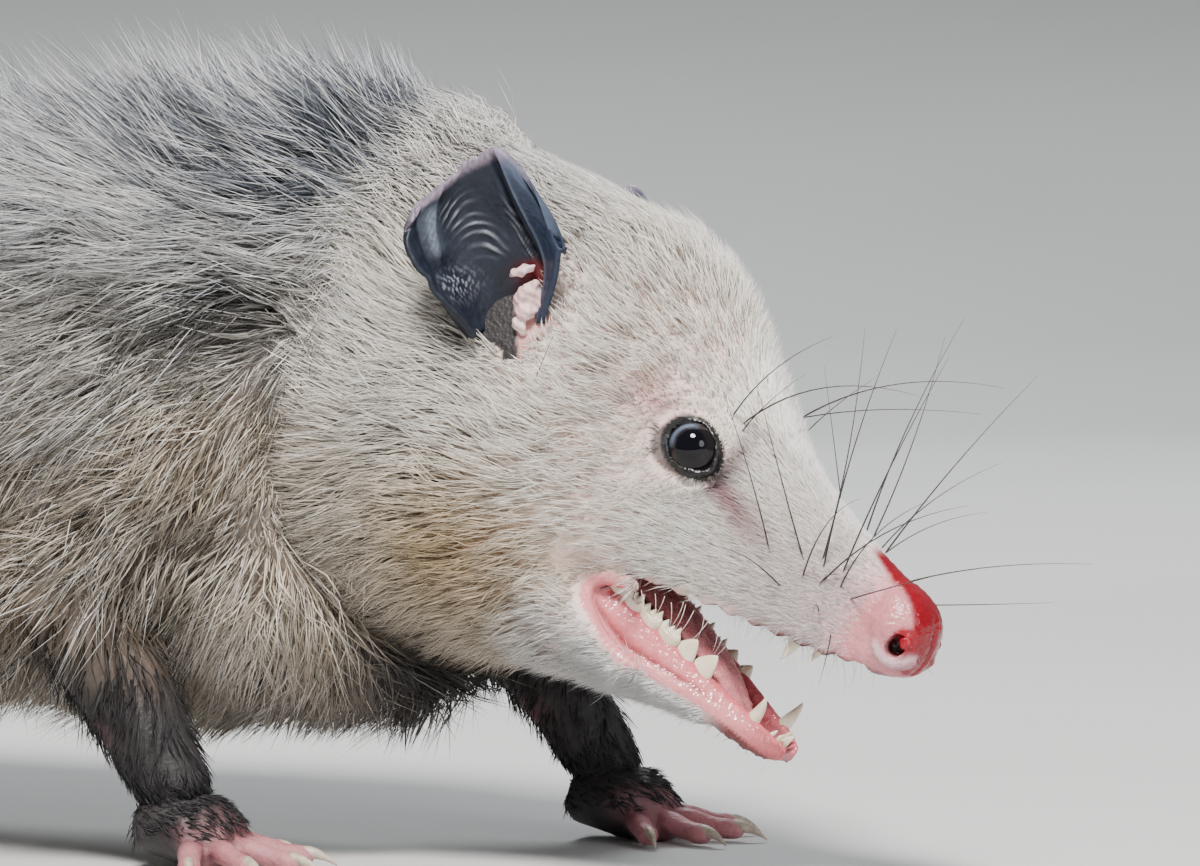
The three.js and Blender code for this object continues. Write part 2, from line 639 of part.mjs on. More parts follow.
// Tail: it leaves the rump, comes down to the floor behind, and lies in one long curve
const TAIL_BEND = { x: -398, y: 88, radius: 94 };
const TAIL_PARTS = {
  tail_root: [0, 72], tail_front: [72, 160], tail_middle: [160, 245], tail_tip: [245, TAIL_LENGTH],
};
const TAIL_DOWN = 135; // along the tail, where it reaches the floor

function makeTailCurve() {
  const points = [
    [-260, 0, 104], [-282, 0, 93], [-303, 0, 70], [-322, 0, 44], [-344, -1, 23], [-370, -4, 12],
  ];
  for (const turn of steps(4, 144, 7)) {
    const { x, y, radius } = TAIL_BEND;
    points.push([x - radius * Math.sin(turn * DEG), y - radius * Math.cos(turn * DEG), 8]);
  }
  return lineThrough(points);
}
const tailCurve = makeTailCurve();
const tailRadius = (d) => mix(16, 2.6, Math.min(1, Math.max(0, d / TAIL_LENGTH)) ** 0.72);

function tailPoint(d) {
  const p = tailCurve.getPointAt(Math.max(0, d) / tailCurve.getLength());
  const low = tailRadius(d) - 0.35;
  return p.setZ(d > TAIL_DOWN ? low : Math.max(p.z, low));
}

function tailRing(d, share = 1) {
  const centre = tailPoint(d);
  const ahead = tailPoint(d + 1).sub(tailPoint(d - 1)).normalize();
  const side = new THREE.Vector3(0, 0, 1).cross(ahead).normalize();
  const up = ahead.clone().cross(side);
  const radius = share * tailRadius(d);
  const place = ([c, q]) => centre.clone().addScaledVector(side, radius * c).addScaledVector(up, radius * q);
  return circle(8).map(place);
}

function makeTailPart([from, to]) {
  const rings = steps(from + (from > 0 ? GAP : 0), to, 7).map((d) => tailRing(d));
  if (to === TAIL_LENGTH) rings.push(tailRing(to + 2, 0.4));
  return aboveFloor(loft(rings));
}

// Build

const solids = {};
const skull = carried(makeSkull(), head);
for (const [name, side] of [["right", -1], ["left", 1]]) solids["eye_" + name] = carried(makeEye(side), head);
const lids = [-1, 1].map(lidRim);
const face = union([skull, ...[...lids, ...upperTeeth()].map((piece) => carried(piece, head))]);
solids.head = cutBy(face, solids.eye_right, solids.eye_left);
solids.nose = carried(makeNose(), head);
const jawBody = carried(makeJawBody(), jaw);
solids.lower_jaw = cutBy(union([jawBody, ...lowerTeeth().map((piece) => carried(piece, jaw))]), skull);
solids.tongue = cutBy(carried(makeTongue(), jaw), jawBody, skull);
for (const [name, ear] of Object.entries(EARS)) {
  solids["ear_" + name] = cutBy(carried(makeEar(ear), head), skull);
}

const limbs = [];
function addLegs(kind, legs, makeLimb, makeFoot) {
  for (const [name, leg] of Object.entries(legs)) {
    const foot = makeFoot(leg);
    const lengths = makeLimb(leg);
    limbs.push(...lengths);
    solids[kind + "foot_" + name] = foot;
    solids[kind + "leg_" + name] = cutBy(aboveFloor(union(lengths)), foot, skull);
  }
}
addLegs("fore", FORE, makeForeleg, makeForefoot);
addLegs("hind", HIND, makeHindleg, makeHindfoot);
for (const [name, span] of Object.entries(TAIL_PARTS)) solids[name] = makeTailPart(span);

const withLocks = (core, locks) => union([core, ...locks.map((made) => lock(made))]);
const neckCore = makeNeckCore(CORE_SHARE);
const neckLocks = [...lockRows([6, 24]).filter(({ a }) => Math.sin(a) > -0.45), ...chestLocks()];
const lastRow = NECK_LENGTH + TRUNK_FRONT - TRUNK_BACK - 34;
const trunkLocks = lockRows(steps(40, lastRow, 7));
solids.neck = cutBy(withLocks(neckCore, neckLocks), skull, jawBody, ...limbs);
const trunk = cutBy(withLocks(makeTrunkCore(CORE_SHARE), trunkLocks), ...limbs, solids.tail_root, neckCore);
solids.torso = largest(neckLocks.reduce((left, made) => left.subtract(lock(made, GAP)), trunk));

// Meshes

const GROUP_OF = {
  head, nose: head, eye_right: head, eye_left: head, ear_right: head, ear_left: head,
  lower_jaw: jaw, tongue: jaw,
};
const LOOK_OF = {
  head: "face", nose: "nose", lower_jaw: "mouth", tongue: "mouth",
  neck: "coat", torso: "coat", tail_root: "coat",
};

function lookOf(name) {
  if (LOOK_OF[name]) return LOOK_OF[name];
  if (name.startsWith("eye")) return "eye";
  if (name.startsWith("ear")) return "ear";
  if (name.includes("foot")) return "feet";
  return name.includes("leg") ? "legs" : "tail";
}

function meshOf(name, solid) {
  const group = GROUP_OF[name] ?? model;
  const local = solid.transform(group.matrixWorld.clone().invert().toArray());
  const made = local.getMesh();
  const geometry = new THREE.BufferGeometry();
  geometry.setAttribute("position", new THREE.BufferAttribute(made.vertProperties, 3));
  geometry.setIndex(new THREE.BufferAttribute(made.triVerts, 1));
  geometry.computeVertexNormals();
  const [color, roughness] = COLOURS[lookOf(name)];
  const mesh = new THREE.Mesh(geometry, new THREE.MeshStandardMaterial({ color, roughness, metalness: 0 }));
  mesh.name = name;
  group.add(mesh);
}

for (const [name, solid] of Object.entries(solids)) meshOf(name, solid);

// The origin is on the floor, under the middle of the whole animal.
const box = new THREE.Box3().setFromObject(model, true);
const opossum = new THREE.Group();
model.position.set(-(box.min.x + box.max.x) / 2, -(box.min.y + box.max.y) / 2, -box.min.z);
opossum.add(model);

export default opossum;
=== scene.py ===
import math

import bpy
import numpy as np
from mathutils import Matrix, Vector, kdtree


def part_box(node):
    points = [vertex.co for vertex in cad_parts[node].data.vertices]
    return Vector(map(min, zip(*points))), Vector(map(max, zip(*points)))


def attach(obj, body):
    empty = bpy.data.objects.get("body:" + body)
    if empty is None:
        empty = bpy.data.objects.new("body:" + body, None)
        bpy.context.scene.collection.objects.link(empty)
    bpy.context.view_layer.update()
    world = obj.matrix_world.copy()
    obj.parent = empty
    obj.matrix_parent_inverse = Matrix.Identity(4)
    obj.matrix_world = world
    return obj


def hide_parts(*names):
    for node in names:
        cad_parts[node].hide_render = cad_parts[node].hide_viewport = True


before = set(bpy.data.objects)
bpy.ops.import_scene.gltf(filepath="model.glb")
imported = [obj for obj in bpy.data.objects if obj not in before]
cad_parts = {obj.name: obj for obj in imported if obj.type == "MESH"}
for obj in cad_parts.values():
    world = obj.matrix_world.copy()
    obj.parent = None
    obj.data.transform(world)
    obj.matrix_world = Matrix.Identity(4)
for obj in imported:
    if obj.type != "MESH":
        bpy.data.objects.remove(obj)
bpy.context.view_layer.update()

rng = np.random.default_rng(7301)
MM = 0.001
NOWHERE = 1e9  # a distance beyond all others

# Driving dimensions, the same as the solids have
NOSE_TIP = np.array([161.0, -23.0, 48.5])
HEAD_YAW, HEAD_DOWN, HEAD_ROLL = math.radians(-10), math.radians(22), math.radians(-6)
JAW_HINGE = np.array([-98.0, 0.0, -4.0])
JAW_GAPE = math.radians(18.5)
HEAD_LENGTH = 138
MOUTH_CORNER = 70
MOUTH_WALL = 75
EYE_BACK, EYE_SIDE, EYE_UP, EYE_RADIUS = 60, 13.2, 18, 6.3
EARS = {
    "right": {"side": -1, "back": 105, "out": 29, "up": 30, "height": 31},
    "left": {"side": 1, "back": 113, "out": 28, "up": 28, "height": 28},
}
EAR_THICK = 1.5
# How many hairs each piece of the coat has
HAIRS = {
    "muzzle": 22500, "cheek": 14500, "ruff": 6500, "underfur": 13500, "guard": 17500, "stray": 9500,
    "leg": 9500, "tail": 6000,
}
TAIL_LENGTH = 330
HEAD_WIDTH = [
    [10, 8.4], [18, 9.2], [28, 10.8], [38, 13], [50, 16.6], [60, 20.5], [72, 28], [85, 34],
    [100, 38], [118, 40], [138, 40],
]
HEAD_TOP = [
    [10, 11.5], [18, 14.5], [28, 18.5], [40, 24.5], [50, 32], [60, 40], [72, 50], [86, 56],
    [102, 59], [120, 60], [138, 59],
]
HEAD_MID = [[10, -0.5], [30, -1], [60, 1], [80, 0], [110, -3], [138, -6]]
LIP_LINE = [[10, -9], [18, -10.8], [30, -11.8], [50, -13], [MOUTH_CORNER, -15]]
THROAT = [[MOUTH_WALL, -36], [86, -43], [100, -48], [118, -52], [138, -56]]
JAW_WIDTH = [
    [10, 20], [24, 22], [34, 21], [44, 18.5], [54, 15], [66, 11], [75, 8.2], [80, 6], [83, 3],
]
JAW_LOW = [[10, -30], [26, -28], [42, -20], [56, -13], [68, -9], [78, -7], [83, -5]]
# Where the lower lip's bare edge meets the fur of the jaw
LIP_EDGE = [[30, -6], [38, -6.6], [46, -8.4], [54, -7], [65, -4.8], [73, -3.8], [83, -3.6]]
NOSE_WIDTH = [[-0.5, 1.5], [0, 3.6], [1, 6.1], [3, 7.8], [6, 8.5], [10, 8.4]]
NOSE_TOP = [[-0.5, 1.8], [0, 4], [1, 6.5], [3, 8.6], [6, 10.4], [10, 11.5]]
NOSE_LOW = [[-0.5, -1.5], [0, -3.4], [1, -5.4], [3, -7], [6, -8], [10, -9]]
TRUNK_WIDTH = [
    [10, 42], [-15, 47], [-50, 49], [-100, 50], [-150, 53], [-200, 52], [-240, 44], [-268, 28],
    [-284, 14],
]
TRUNK_TOP = [
    [10, 153], [-15, 152], [-50, 146], [-100, 150], [-150, 153], [-200, 151], [-240, 143],
    [-268, 122], [-284, 106],
]
TRUNK_LOW = [
    [10, 32], [-15, 31], [-50, 35], [-100, 39], [-150, 41], [-200, 45], [-240, 56], [-268, 72],
    [-284, 84],
]
CHEST = 36  # how far the chest's skin stands forward under the throat
COAT_DEPTH = [[10, 20], [-15, 22], [-60, 23], [-200, 23], [-250, 18], [-284, 7]]
TRUNK_FRONT, TRUNK_BACK = 8, -284
BELLY_COAT = 0.55
# How deep the face's own fur stands over its skin, against the distance behind the nose
FACE_FUR = [[8, 0.2], [20, 0.6], [40, 1.2], [62, 1.8], [80, 4], [100, 6], [138, 8]]
# Joints of each leg from the top down, and how far its foot turns to the left, in degrees
FORE = [
    {"side": -1, "joints": [[4, 27, 90], [-22, 42, 58], [1, 42, 17]], "turn": -8},
    {"side": 1, "joints": [[4, 30, 90], [34, 47, 58], [64, 43, 17]], "turn": 6},
]
HIND = [
    {"side": -1, "joints": [[-214, 31, 96], [-184, 43, 64], [-232, 46, 19]], "turn": -12},
    {"side": 1, "joints": [[-206, 31, 96], [-156, 43, 64], [-196, 46, 19]], "turn": 10},
]
LEG_FUR = 2.4
COAT_REACH = 84  # how far out on its right side the guard hair stands before it bends down
TAIL_POINTS = [
    [-260, 0, 104], [-282, 0, 93], [-303, 0, 70], [-322, 0, 44], [-344, -1, 23], [-370, -4, 12],
]
TAIL_BEND_X, TAIL_BEND_Y, TAIL_BEND_RADIUS = -398, 88, 94
TAIL_DOWN = 135


# Numbers and curves


def at(table, place):
    """A smooth curve through the rows of a table, read at one place or an array of them."""
    rows = np.array(sorted(table), float)
    x, y = rows[:, 0], rows[:, 1]
    slope = np.empty_like(y)
    slope[1:-1] = (y[2:] - y[:-2]) / (x[2:] - x[:-2])
    slope[0] = (y[1] - y[0]) / (x[1] - x[0])
    slope[-1] = (y[-1] - y[-2]) / (x[-1] - x[-2])
    place = np.clip(np.asarray(place, float), x[0], x[-1])
    i = np.clip(np.searchsorted(x, place, side="right") - 1, 0, len(x) - 2)
    span = x[i + 1] - x[i]
    t = (place - x[i]) / span
    rise = t * t * (3 - 2 * t)
    bend = t * (1 - t) ** 2 * slope[i] * span + t * t * (t - 1) * slope[i + 1] * span
    return y[i] * (1 - rise) + y[i + 1] * rise + bend


def mix(a, b, t):
    return a + (b - a) * t


def smooth(low, high, value):
    """0 below low, 1 above high and a soft step between; low may be the larger."""
    t = np.clip((np.asarray(value, float) - low) / (high - low), 0, 1)
    return t * t * (3 - 2 * t)


def hill(value, middle, reach):
    return np.exp(-(((np.asarray(value, float) - middle) / reach) ** 2))


def power(value, exponent):
    return np.sign(value) * np.abs(value) ** exponent


def unit(v):
    return v / np.maximum(np.linalg.norm(v, axis=-1, keepdims=True), 1e-12)


def dot(a, b):
    return np.sum(a * b, axis=-1, keepdims=True)


def circle(count):
    a = np.arange(count) * 2 * math.pi / count
    return np.cos(a), np.sin(a)


def fine_curve(points):
    """Points close together on a smooth curve through the given ones, and how far along each lies."""
    p = np.array(points, float)
    p = np.vstack([2 * p[0] - p[1], p, 2 * p[-1] - p[-2]])
    fine = []
    t = np.linspace(0, 1, 24, endpoint=False)[:, None]
    for i in range(1, len(p) - 2):
        p0, p1, p2, p3 = p[i - 1 : i + 3]
        d0, d1, d2 = (math.sqrt(np.linalg.norm(b - a)) for a, b in ((p0, p1), (p1, p2), (p2, p3)))
        m1 = ((p1 - p0) / d0 - (p2 - p0) / (d0 + d1) + (p2 - p1) / d1) * d1
        m2 = ((p2 - p1) / d1 - (p3 - p1) / (d1 + d2) + (p3 - p2) / d2) * d1
        rise = t * t * (3 - 2 * t)
        fine.append(p1 * (1 - rise) + p2 * rise + t * (1 - t) ** 2 * m1 + t * t * (t - 1) * m2)
    fine = np.vstack([*fine, p[-2:-1]])
    return fine, np.concatenate([[0], np.cumsum(np.linalg.norm(np.diff(fine, axis=0), axis=1))])


def curve(points, count):
    """Evenly spaced points on a smooth curve through the given ones."""
    fine, run = fine_curve(points)
    even = np.linspace(0, run[-1], count)
    return np.stack([np.interp(even, run, fine[:, k]) for k in range(3)], 1)


def nearest(places, points):
    """Which of the places is nearest to each point, and how far it is."""
    tree = kdtree.KDTree(len(places))
    for i, place in enumerate(places):
        tree.insert(place, i)
    tree.balance()
    found = [tree.find(p)[1:] for p in points]
    return np.array([i for i, _ in found]), np.array([far for _, far in found])


def turned(axis, angle):
    return np.array(Matrix.Rotation(angle, 3, axis))


HEAD_TURN = turned("Z", HEAD_YAW) @ turned("Y", HEAD_DOWN) @ turned("X", HEAD_ROLL)
JAW_TURN = turned("Y", JAW_GAPE)


def from_head(q):
    """Points of the head's frame in the body's."""
    return q @ HEAD_TURN.T + NOSE_TIP


def to_head(p):
    return (p - NOSE_TIP) @ HEAD_TURN


def from_jaw(q):
    """Points of the jaw's frame in the head's."""
    return q @ JAW_TURN.T + JAW_HINGE


def to_jaw(q):
    return (q - JAW_HINGE) @ JAW_TURN


def parts(q):
    """How far behind the nose points of the head's frame lie, and how far left and up."""
    return -q[:, 0], q[:, 1], q[:, 2]


eye_low, eye_high = (np.array(v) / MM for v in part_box("eye_right"))
SHIFT = (eye_low + eye_high) / 2 - from_head(np.array([-EYE_BACK, -EYE_SIDE, EYE_UP]))
SHIFT[2] = 0


# Meshes


def tube(path, radii, sides=12, flat=1.0, across=(0, 1, 0)):
    """Rings of an oval tube along points."""
    path = np.asarray(path, float)
    ahead = unit(np.gradient(path, axis=0))
    across = np.asarray(across, float)
    side = unit(across - dot(across, ahead) * ahead)
    up = np.cross(ahead, side)
    c, q = circle(sides)
    r = np.asarray(radii, float)[:, None, None]
    return path[:, None] + r * (side[:, None] * c[:, None] + flat * up[:, None] * q[:, None])


def lofted(rings):
    """Points and faces of a skin over rings of equal count, closed by a fan at each end."""
    rings = np.asarray(rings, float)
    n, m = rings.shape[:2]
    k = np.arange(m)
    a = np.arange(n - 1)[:, None] * m + k
    b = np.arange(n - 1)[:, None] * m + (k + 1) % m
    first = np.stack([a, b, b + m], -1).reshape(-1, 3)
    second = np.stack([a, b + m, a + m], -1).reshape(-1, 3)
    points = np.vstack([rings.reshape(-1, 3), rings[0].mean(0), rings[-1].mean(0)])
    start = np.stack([(k + 1) % m, k, np.full(m, n * m)], -1)
    end = np.stack([(n - 1) * m + k, (n - 1) * m + (k + 1) % m, np.full(m, n * m + 1)], -1)
    faces = np.vstack([first, second, start, end])
    return points, outward(points, faces)


def outward(points, faces):
    """The faces of a closed skin, turned the other way round where they look inwards."""
    corner = points[faces]
    volume = np.sum(corner[:, 0] * np.cross(corner[:, 1], corner[:, 2]))
    return faces if volume > 0 else faces[:, ::-1]


def joined(pieces):
    """Several (points, faces) as one."""
    points, faces, base = [], [], 0
    for p, f in pieces:
        points.append(p)
        faces.append(f + base)
        base += len(p)
    return np.vstack(points), np.vstack(faces)


def object_of(name, points, faces):
    """An object of triangles. points are in millimetres of the body's frame."""
    mesh = bpy.data.meshes.new(name)
    mesh.vertices.add(len(points))
    mesh.vertices.foreach_set("co", ((points + SHIFT) * MM).astype(np.float32).ravel())
    mesh.loops.add(faces.size)
    mesh.loops.foreach_set("vertex_index", faces.astype(np.int32).ravel())
    mesh.polygons.add(len(faces))
    mesh.polygons.foreach_set("loop_start", np.arange(0, faces.size, 3, dtype=np.int32))
    mesh.polygons.foreach_set("use_smooth", np.full(len(faces), True))
    mesh.update(calc_edges=True)
    made = bpy.data.objects.new(name, mesh)
    bpy.context.scene.collection.objects.link(made)
    return made


def read(items, key, kind=np.float32):
    """Three numbers of each of a mesh's items."""
    values = np.empty(len(items) * 3, kind)
    items.foreach_get(key, values)
    return values.reshape(-1, 3)


def points_of(obj):
    return read(obj.data.vertices, "co").astype(float) / MM - SHIFT


def normals_of(obj):
    return read(obj.data.vertex_normals, "vector").astype(float)


def surface_of(obj):
    obj.data.calc_loop_triangles()
    return points_of(obj), normals_of(obj), read(obj.data.loop_triangles, "vertices", np.int32)


def on_floor(points):
    """Points with none under the floor."""
    points[..., 2] = np.maximum(points[..., 2], 0)
    return points


def set_points(obj, points):
    obj.data.vertices.foreach_set("co", ((points + SHIFT) * MM).astype(np.float32).ravel())
    obj.data.update()


def settle(obj):
    """Applies the object's modifiers."""
    graph = bpy.context.evaluated_depsgraph_get()
    made = bpy.data.meshes.new_from_object(obj.evaluated_get(graph), depsgraph=graph)
    obj.modifiers.clear()
    old = obj.data
    obj.data = made
    bpy.data.meshes.remove(old)


def remeshed(obj, size, rounds):
    """Fuses the pieces of a mesh into one even skin and softens it."""
    change = obj.modifiers.new("even", "REMESH")
    change.mode = "VOXEL"
    change.voxel_size = size * MM
    change.use_smooth_shade = True
    soft = obj.modifiers.new("soft", "SMOOTH")
    soft.factor = 0.5
    soft.iterations = rounds
    settle(obj)
    return obj


def combine(obj, other, kind):
    """Joins another closed mesh to the object, or cuts it away, and removes it."""
    change = obj.modifiers.new("combine", "BOOLEAN")
    change.operation = kind
    change.solver = "MANIFOLD"
    change.object = other
    settle(obj)
    bpy.data.objects.remove(other)


def ball(centre, radii, turn=None, rings=16, sides=24):
    """An ellipsoid in the frame of its centre."""
    lift = np.linspace(-math.pi / 2, math.pi / 2, rings + 1)[1:-1, None]
    c, q = circle(sides)
    points = np.stack([np.cos(lift) * c, np.cos(lift) * q, np.sin(lift) * np.ones(sides)], -1)
    points = points * np.asarray(radii, float)
    turn = np.eye(3) if turn is None else turn
    made, faces = lofted(points @ turn.T)
    made[-2:] = np.array([[0, 0, -radii[2]], [0, 0, radii[2]]], float) @ turn.T
    return made + np.asarray(centre, float), faces


def paint(obj, name, values):
    """A named value or colour on each point of a mesh."""
    values = np.asarray(values, np.float32)
    if values.ndim == 1:
        layer = obj.data.attributes.new(name, "FLOAT", "POINT")
        layer.data.foreach_set("value", values)
        return
    layer = obj.data.attributes.new(name, "FLOAT_COLOR", "POINT")
    full = np.concatenate([values, np.ones((len(values), 1), np.float32)], 1)
    layer.data.foreach_set("color", full.ravel())


# Materials


class Nodes:
    """A material, its shader and the nodes that feed it."""

    def __init__(self, name):
        self.material = bpy.data.materials.new(name)
        self.material.use_nodes = True
        self.tree = self.material.node_tree
        self.tree.nodes.clear()
        self.shader = self.tree.nodes.new("ShaderNodeBsdfPrincipled")
        out = self.tree.nodes.new("ShaderNodeOutputMaterial")
        self.tree.links.new(self.shader.outputs["BSDF"], out.inputs["Surface"])
        self.place = self.tree.nodes.new("ShaderNodeTexCoord").outputs["Object"]

    def put(self, socket, value):
        if isinstance(value, bpy.types.NodeSocket):
            self.tree.links.new(value, socket)
        elif isinstance(value, tuple) and len(value) == 3 and socket.type == "RGBA":
            socket.default_value = (*value, 1)
        else:
            socket.default_value = value

    def node(self, kind, sockets, output, **settings):
        """One output of a new node, after its settings and its sockets' values or links."""
        node = self.tree.nodes.new("ShaderNode" + kind)
        for key, value in settings.items():
            setattr(node, key, value)
        for key, value in sockets.items():
            self.put(node.inputs[key], value)
        return node.outputs[output]

    def attribute(self, name, output="Color"):
        return self.node("Attribute", {}, output, attribute_name=name)

    def noise(self, scale, detail=3.0, rough=0.55):
        sockets = {"Vector": self.place, "Scale": scale, "Detail": detail, "Roughness": rough}
        return self.node("TexNoise", sockets, "Fac")

    def cells(self, scale):
        return self.node("TexVoronoi", {"Vector": self.place, "Scale": scale}, "Distance")

    def span(self, value, low, high, to_low, to_high):
        sockets = {"Value": value, "From Min": low, "From Max": high, "To Min": to_low, "To Max": to_high}
        return self.node("MapRange", sockets, "Result")

    def blend(self, share, a, b, kind="MIX"):
        sockets = {"Factor": share, "A": a, "B": b}
        return self.node("Mix", sockets, "Result", data_type="RGBA", blend_type=kind)

    def bump(self, height, distance, strength=1.0, under=None):
        sockets = {"Distance": distance, "Strength": strength, "Height": height}
        if under is not None:
            sockets["Normal"] = under
        return self.node("Bump", sockets, "Normal")

    def finish(self, **sockets):
        for name, value in sockets.items():
            self.put(self.shader.inputs[name.replace("_", " ")], value)
        return self.material


def skin_material():
    n = Nodes("skin")
    tint, wet = n.attribute("tint"), n.attribute("wet", "Fac")
    broad = n.noise(120, 4)
    fine = n.noise(900, 3)
    colour = n.blend(n.span(broad, 0.3, 0.7, 0.0, 0.35), tint, (0.62, 0.30, 0.26), "MULTIPLY")
    colour = n.blend(n.span(fine, 0.35, 0.75, 0.0, 0.35), colour, (0.9, 0.66, 0.62), "OVERLAY")
    pores = n.cells(1500)
    creases = n.cells(700)
    dry = n.bump(creases, 0.0003, 0.5, n.bump(pores, 0.00015, 0.6))
    rough = n.span(wet, 0.0, 1.0, 0.58, 0.16)
    rough = n.node("Math", {0: rough, 1: n.span(fine, 0.3, 0.7, -0.05, 0.08)}, 0, operation="ADD")
    return n.finish(
        Base_Color=colour, Roughness=rough, Normal=dry, Specular_IOR_Level=0.5,
        Subsurface_Weight=0.12, Subsurface_Radius=(0.004, 0.0015, 0.001), Subsurface_Scale=0.4,
    )


def coat_material(name, rough=0.5):
    n = Nodes(name)
    tint = n.attribute("tint")
    streak = n.noise(700, 2)
    colour = n.blend(n.span(streak, 0.3, 0.7, 0.0, 0.22), tint, (0.55, 0.50, 0.46), "MULTIPLY")
    gloss = n.span(n.noise(1400, 1), 0.3, 0.7, rough - 0.08, rough + 0.1)
    ripple = n.bump(n.noise(4200, 1), 0.00006, 0.5)
    return n.finish(Base_Color=colour, Roughness=gloss, Normal=ripple, Specular_IOR_Level=0.35)


def simple_material(name, colour, other, rough, scale, bump=0.0002, level=0.5, **more):
    n = Nodes(name)
    patches = n.noise(scale, 4)
    mixed = n.blend(n.span(patches, 0.3, 0.7, 0.0, 1.0), colour, other)
    grain = n.noise(scale * 5, 3)
    gloss = n.span(grain, 0.3, 0.7, max(0.02, rough - 0.06), rough + 0.08)
    return n.finish(
        Base_Color=mixed, Roughness=gloss, Normal=n.bump(grain, bump), Specular_IOR_Level=level,
        **more,
    )


# Head


def lower_edge(s):
    front, back = at(LIP_LINE, s), at(THROAT, s)
    t = np.clip((s - MOUTH_CORNER) / (MOUTH_WALL - MOUTH_CORNER), 0, 1)
    between = mix(at(LIP_LINE, MOUTH_CORNER), at(THROAT, MOUTH_WALL), t)
    return np.where(s <= MOUTH_CORNER, front, np.where(s >= MOUTH_WALL, back, between))


def head_ring(s, sides, bare=1.0):
    """One section of the head's skin. bare is the share of the fur's depth that is taken off."""
    fur = bare * at(FACE_FUR, s)
    width, top, mid = at(HEAD_WIDTH, s) - fur, at(HEAD_TOP, s) - fur, at(HEAD_MID, s)
    in_mouth = s <= MOUTH_CORNER
    low = lower_edge(s) + (0.2 if in_mouth else 1) * fur
    square = 0.5 if in_mouth else 0.85
    c, q = circle(sides)
    y = width * power(c, np.where(q >= 0, 0.95, square))
    inside = np.maximum(0, 1 - (y / (0.86 * width)) ** 2)
    vault = 0.42 * width * inside**0.7 if in_mouth else 0
    below = mid - (mid - low) * np.abs(q) ** square + vault
    z = np.where(q >= 0, mid + (top - mid) * np.abs(q) ** 0.95, below)
    return np.stack([np.full(sides, -float(s)), y, z], -1)


def eye_frame(side):
    """The middle of an eye, the way it looks, and the long and short axes of its opening."""
    centre = np.array([-EYE_BACK, side * EYE_SIDE, EYE_UP], float)
    out = unit(np.array([0.22, side, 0.3]))
    slope = np.array([1, 0, -0.5])
    along = unit(slope - np.sum(slope * out) * out)
    return centre, out, along, np.cross(out, along)


def both_ways(turns, sides):
    """Two triangles for each place of a grid that closes on itself both ways."""
    i, k = np.meshgrid(np.arange(turns), np.arange(sides), indexing="ij")
    here, after, up = i * sides, ((i + 1) % turns) * sides, (k + 1) % sides
    first = np.stack([here + k, after + k, here + up], -1)
    second = np.stack([after + k, after + up, here + up], -1)
    return np.concatenate([first, second]).reshape(-1, 3)


def lid_rim(side):
    """The lids: a soft rim round the eye, drawn out to its front corner."""
    centre, out, along, over = eye_frame(side)
    turns, sides = 64, 12
    a = np.arange(turns) * 2 * math.pi / turns
    long = 5.15 * np.cos(a) + 1.5 * np.maximum(0, np.cos(a)) ** 5
    reach = long[:, None] * along + 4.85 * np.sin(a)[:, None] * over
    radial = unit(reach)
    thick = (0.85 + 0.15 * (np.sin(a) * side > 0))[:, None, None]
    b = np.arange(sides) * 2 * math.pi / sides
    drop = 3.45 - 0.4 * np.maximum(0, np.cos(a)) ** 3
    middle = centre + out * drop[:, None] + reach
    round_ = radial[:, None] * np.cos(b)[:, None] + out * np.sin(b)[:, None]
    return (middle[:, None] + thick * round_).reshape(-1, 3), both_ways(turns, sides)


def jaw_ring(x):
    """A section of the lower jaw: skin, lip, a groove, the inner lip, gum and the mouth's floor."""
    width, low, edge = (float(at(table, x)) for table in (JAW_WIDTH, JAW_LOW, LIP_EDGE))
    open_ = min(1, width / 10)
    skin = 1.2
    half = [
        [0.25, low * 0.99 + skin], [0.5, low * 0.96 + skin], [0.72, low * 0.9 + skin],
        [0.86, low * 0.8 - 0.5 + skin], [0.95, min(low * 0.64, edge - 3.2)],
        [0.98, min(low * 0.45 - 1, edge - 1.6)], [1.0, edge - 0.5], [1.03, edge + 0.4],
        [1.02, edge + 1.2], [0.97, edge + 1.8], [0.93, edge + 1.2], [0.91, edge * 0.78 + 0.9],
        [0.89, edge * 0.55 + 0.9], [0.84, edge * 0.28], [0.79, -0.3], [0.68, 0.5], [0.6, 0.1],
        [0.54, -2.6 * open_], [0.46, -5 * open_], [0.25, -5.6 * open_],
    ]
    right = np.array([[x, -share * width, z] for share, z in half])
    left = (right * [1, -1, 1])[::-1]
    return np.vstack([[[x, 0, low + skin]], right, [[x, 0, -5.7 * open_]], left])


def nose_ring(s, sides):
    c, q = circle(sides)
    width, top, low = at(NOSE_WIDTH, s), at(NOSE_TOP, s), at(NOSE_LOW, s)
    z = (top + low) / 2 + (top - low) / 2 * power(q, 0.85)
    return np.stack([np.full(sides, -float(s)), width * power(c, 0.85), z], -1)


# The middle of the lip that turns the corner of the mouth, from the upper lip round to the lower
CORNER = [
    [-55, 16.8, -12.2], [-60.5, 17.6, -12.5], [-65.2, 18.9, -13.3], [-67.2, 19.9, -15.6],
    [-66, 20.7, -18.6], [-62.6, 21, -21.8], [-56.5, 20.6, -25.2], [-49, 19.2, -27.4],
]


def mouth_corner(side):
    """The lip round the corner of the mouth, and the cheek behind it as rolls side by side."""
    path = curve(np.array(CORNER) * [1, side, 1], 24)
    t = np.linspace(0, 1, 24)
    radii = (1.05 + 0.3 * np.sin(math.pi * t)) * mix(0.35, 1, smooth(0, 0.3, t))
    return [
        lofted(tube(path + [-back, side * 0.11 * back, 0], radii + more, 12, 1.0, (1, 0, 0.3)))
        for back, more in ((0, 0), (3, 1.2), (6, 1.2), (9, 1.2), (12, 1.2))
    ]


def add(skin, piece, kind):
    """Joins a piece of the head's frame to the skin, or cuts it away."""
    combine(skin, object_of("piece", from_head(piece[0]), piece[1]), kind)


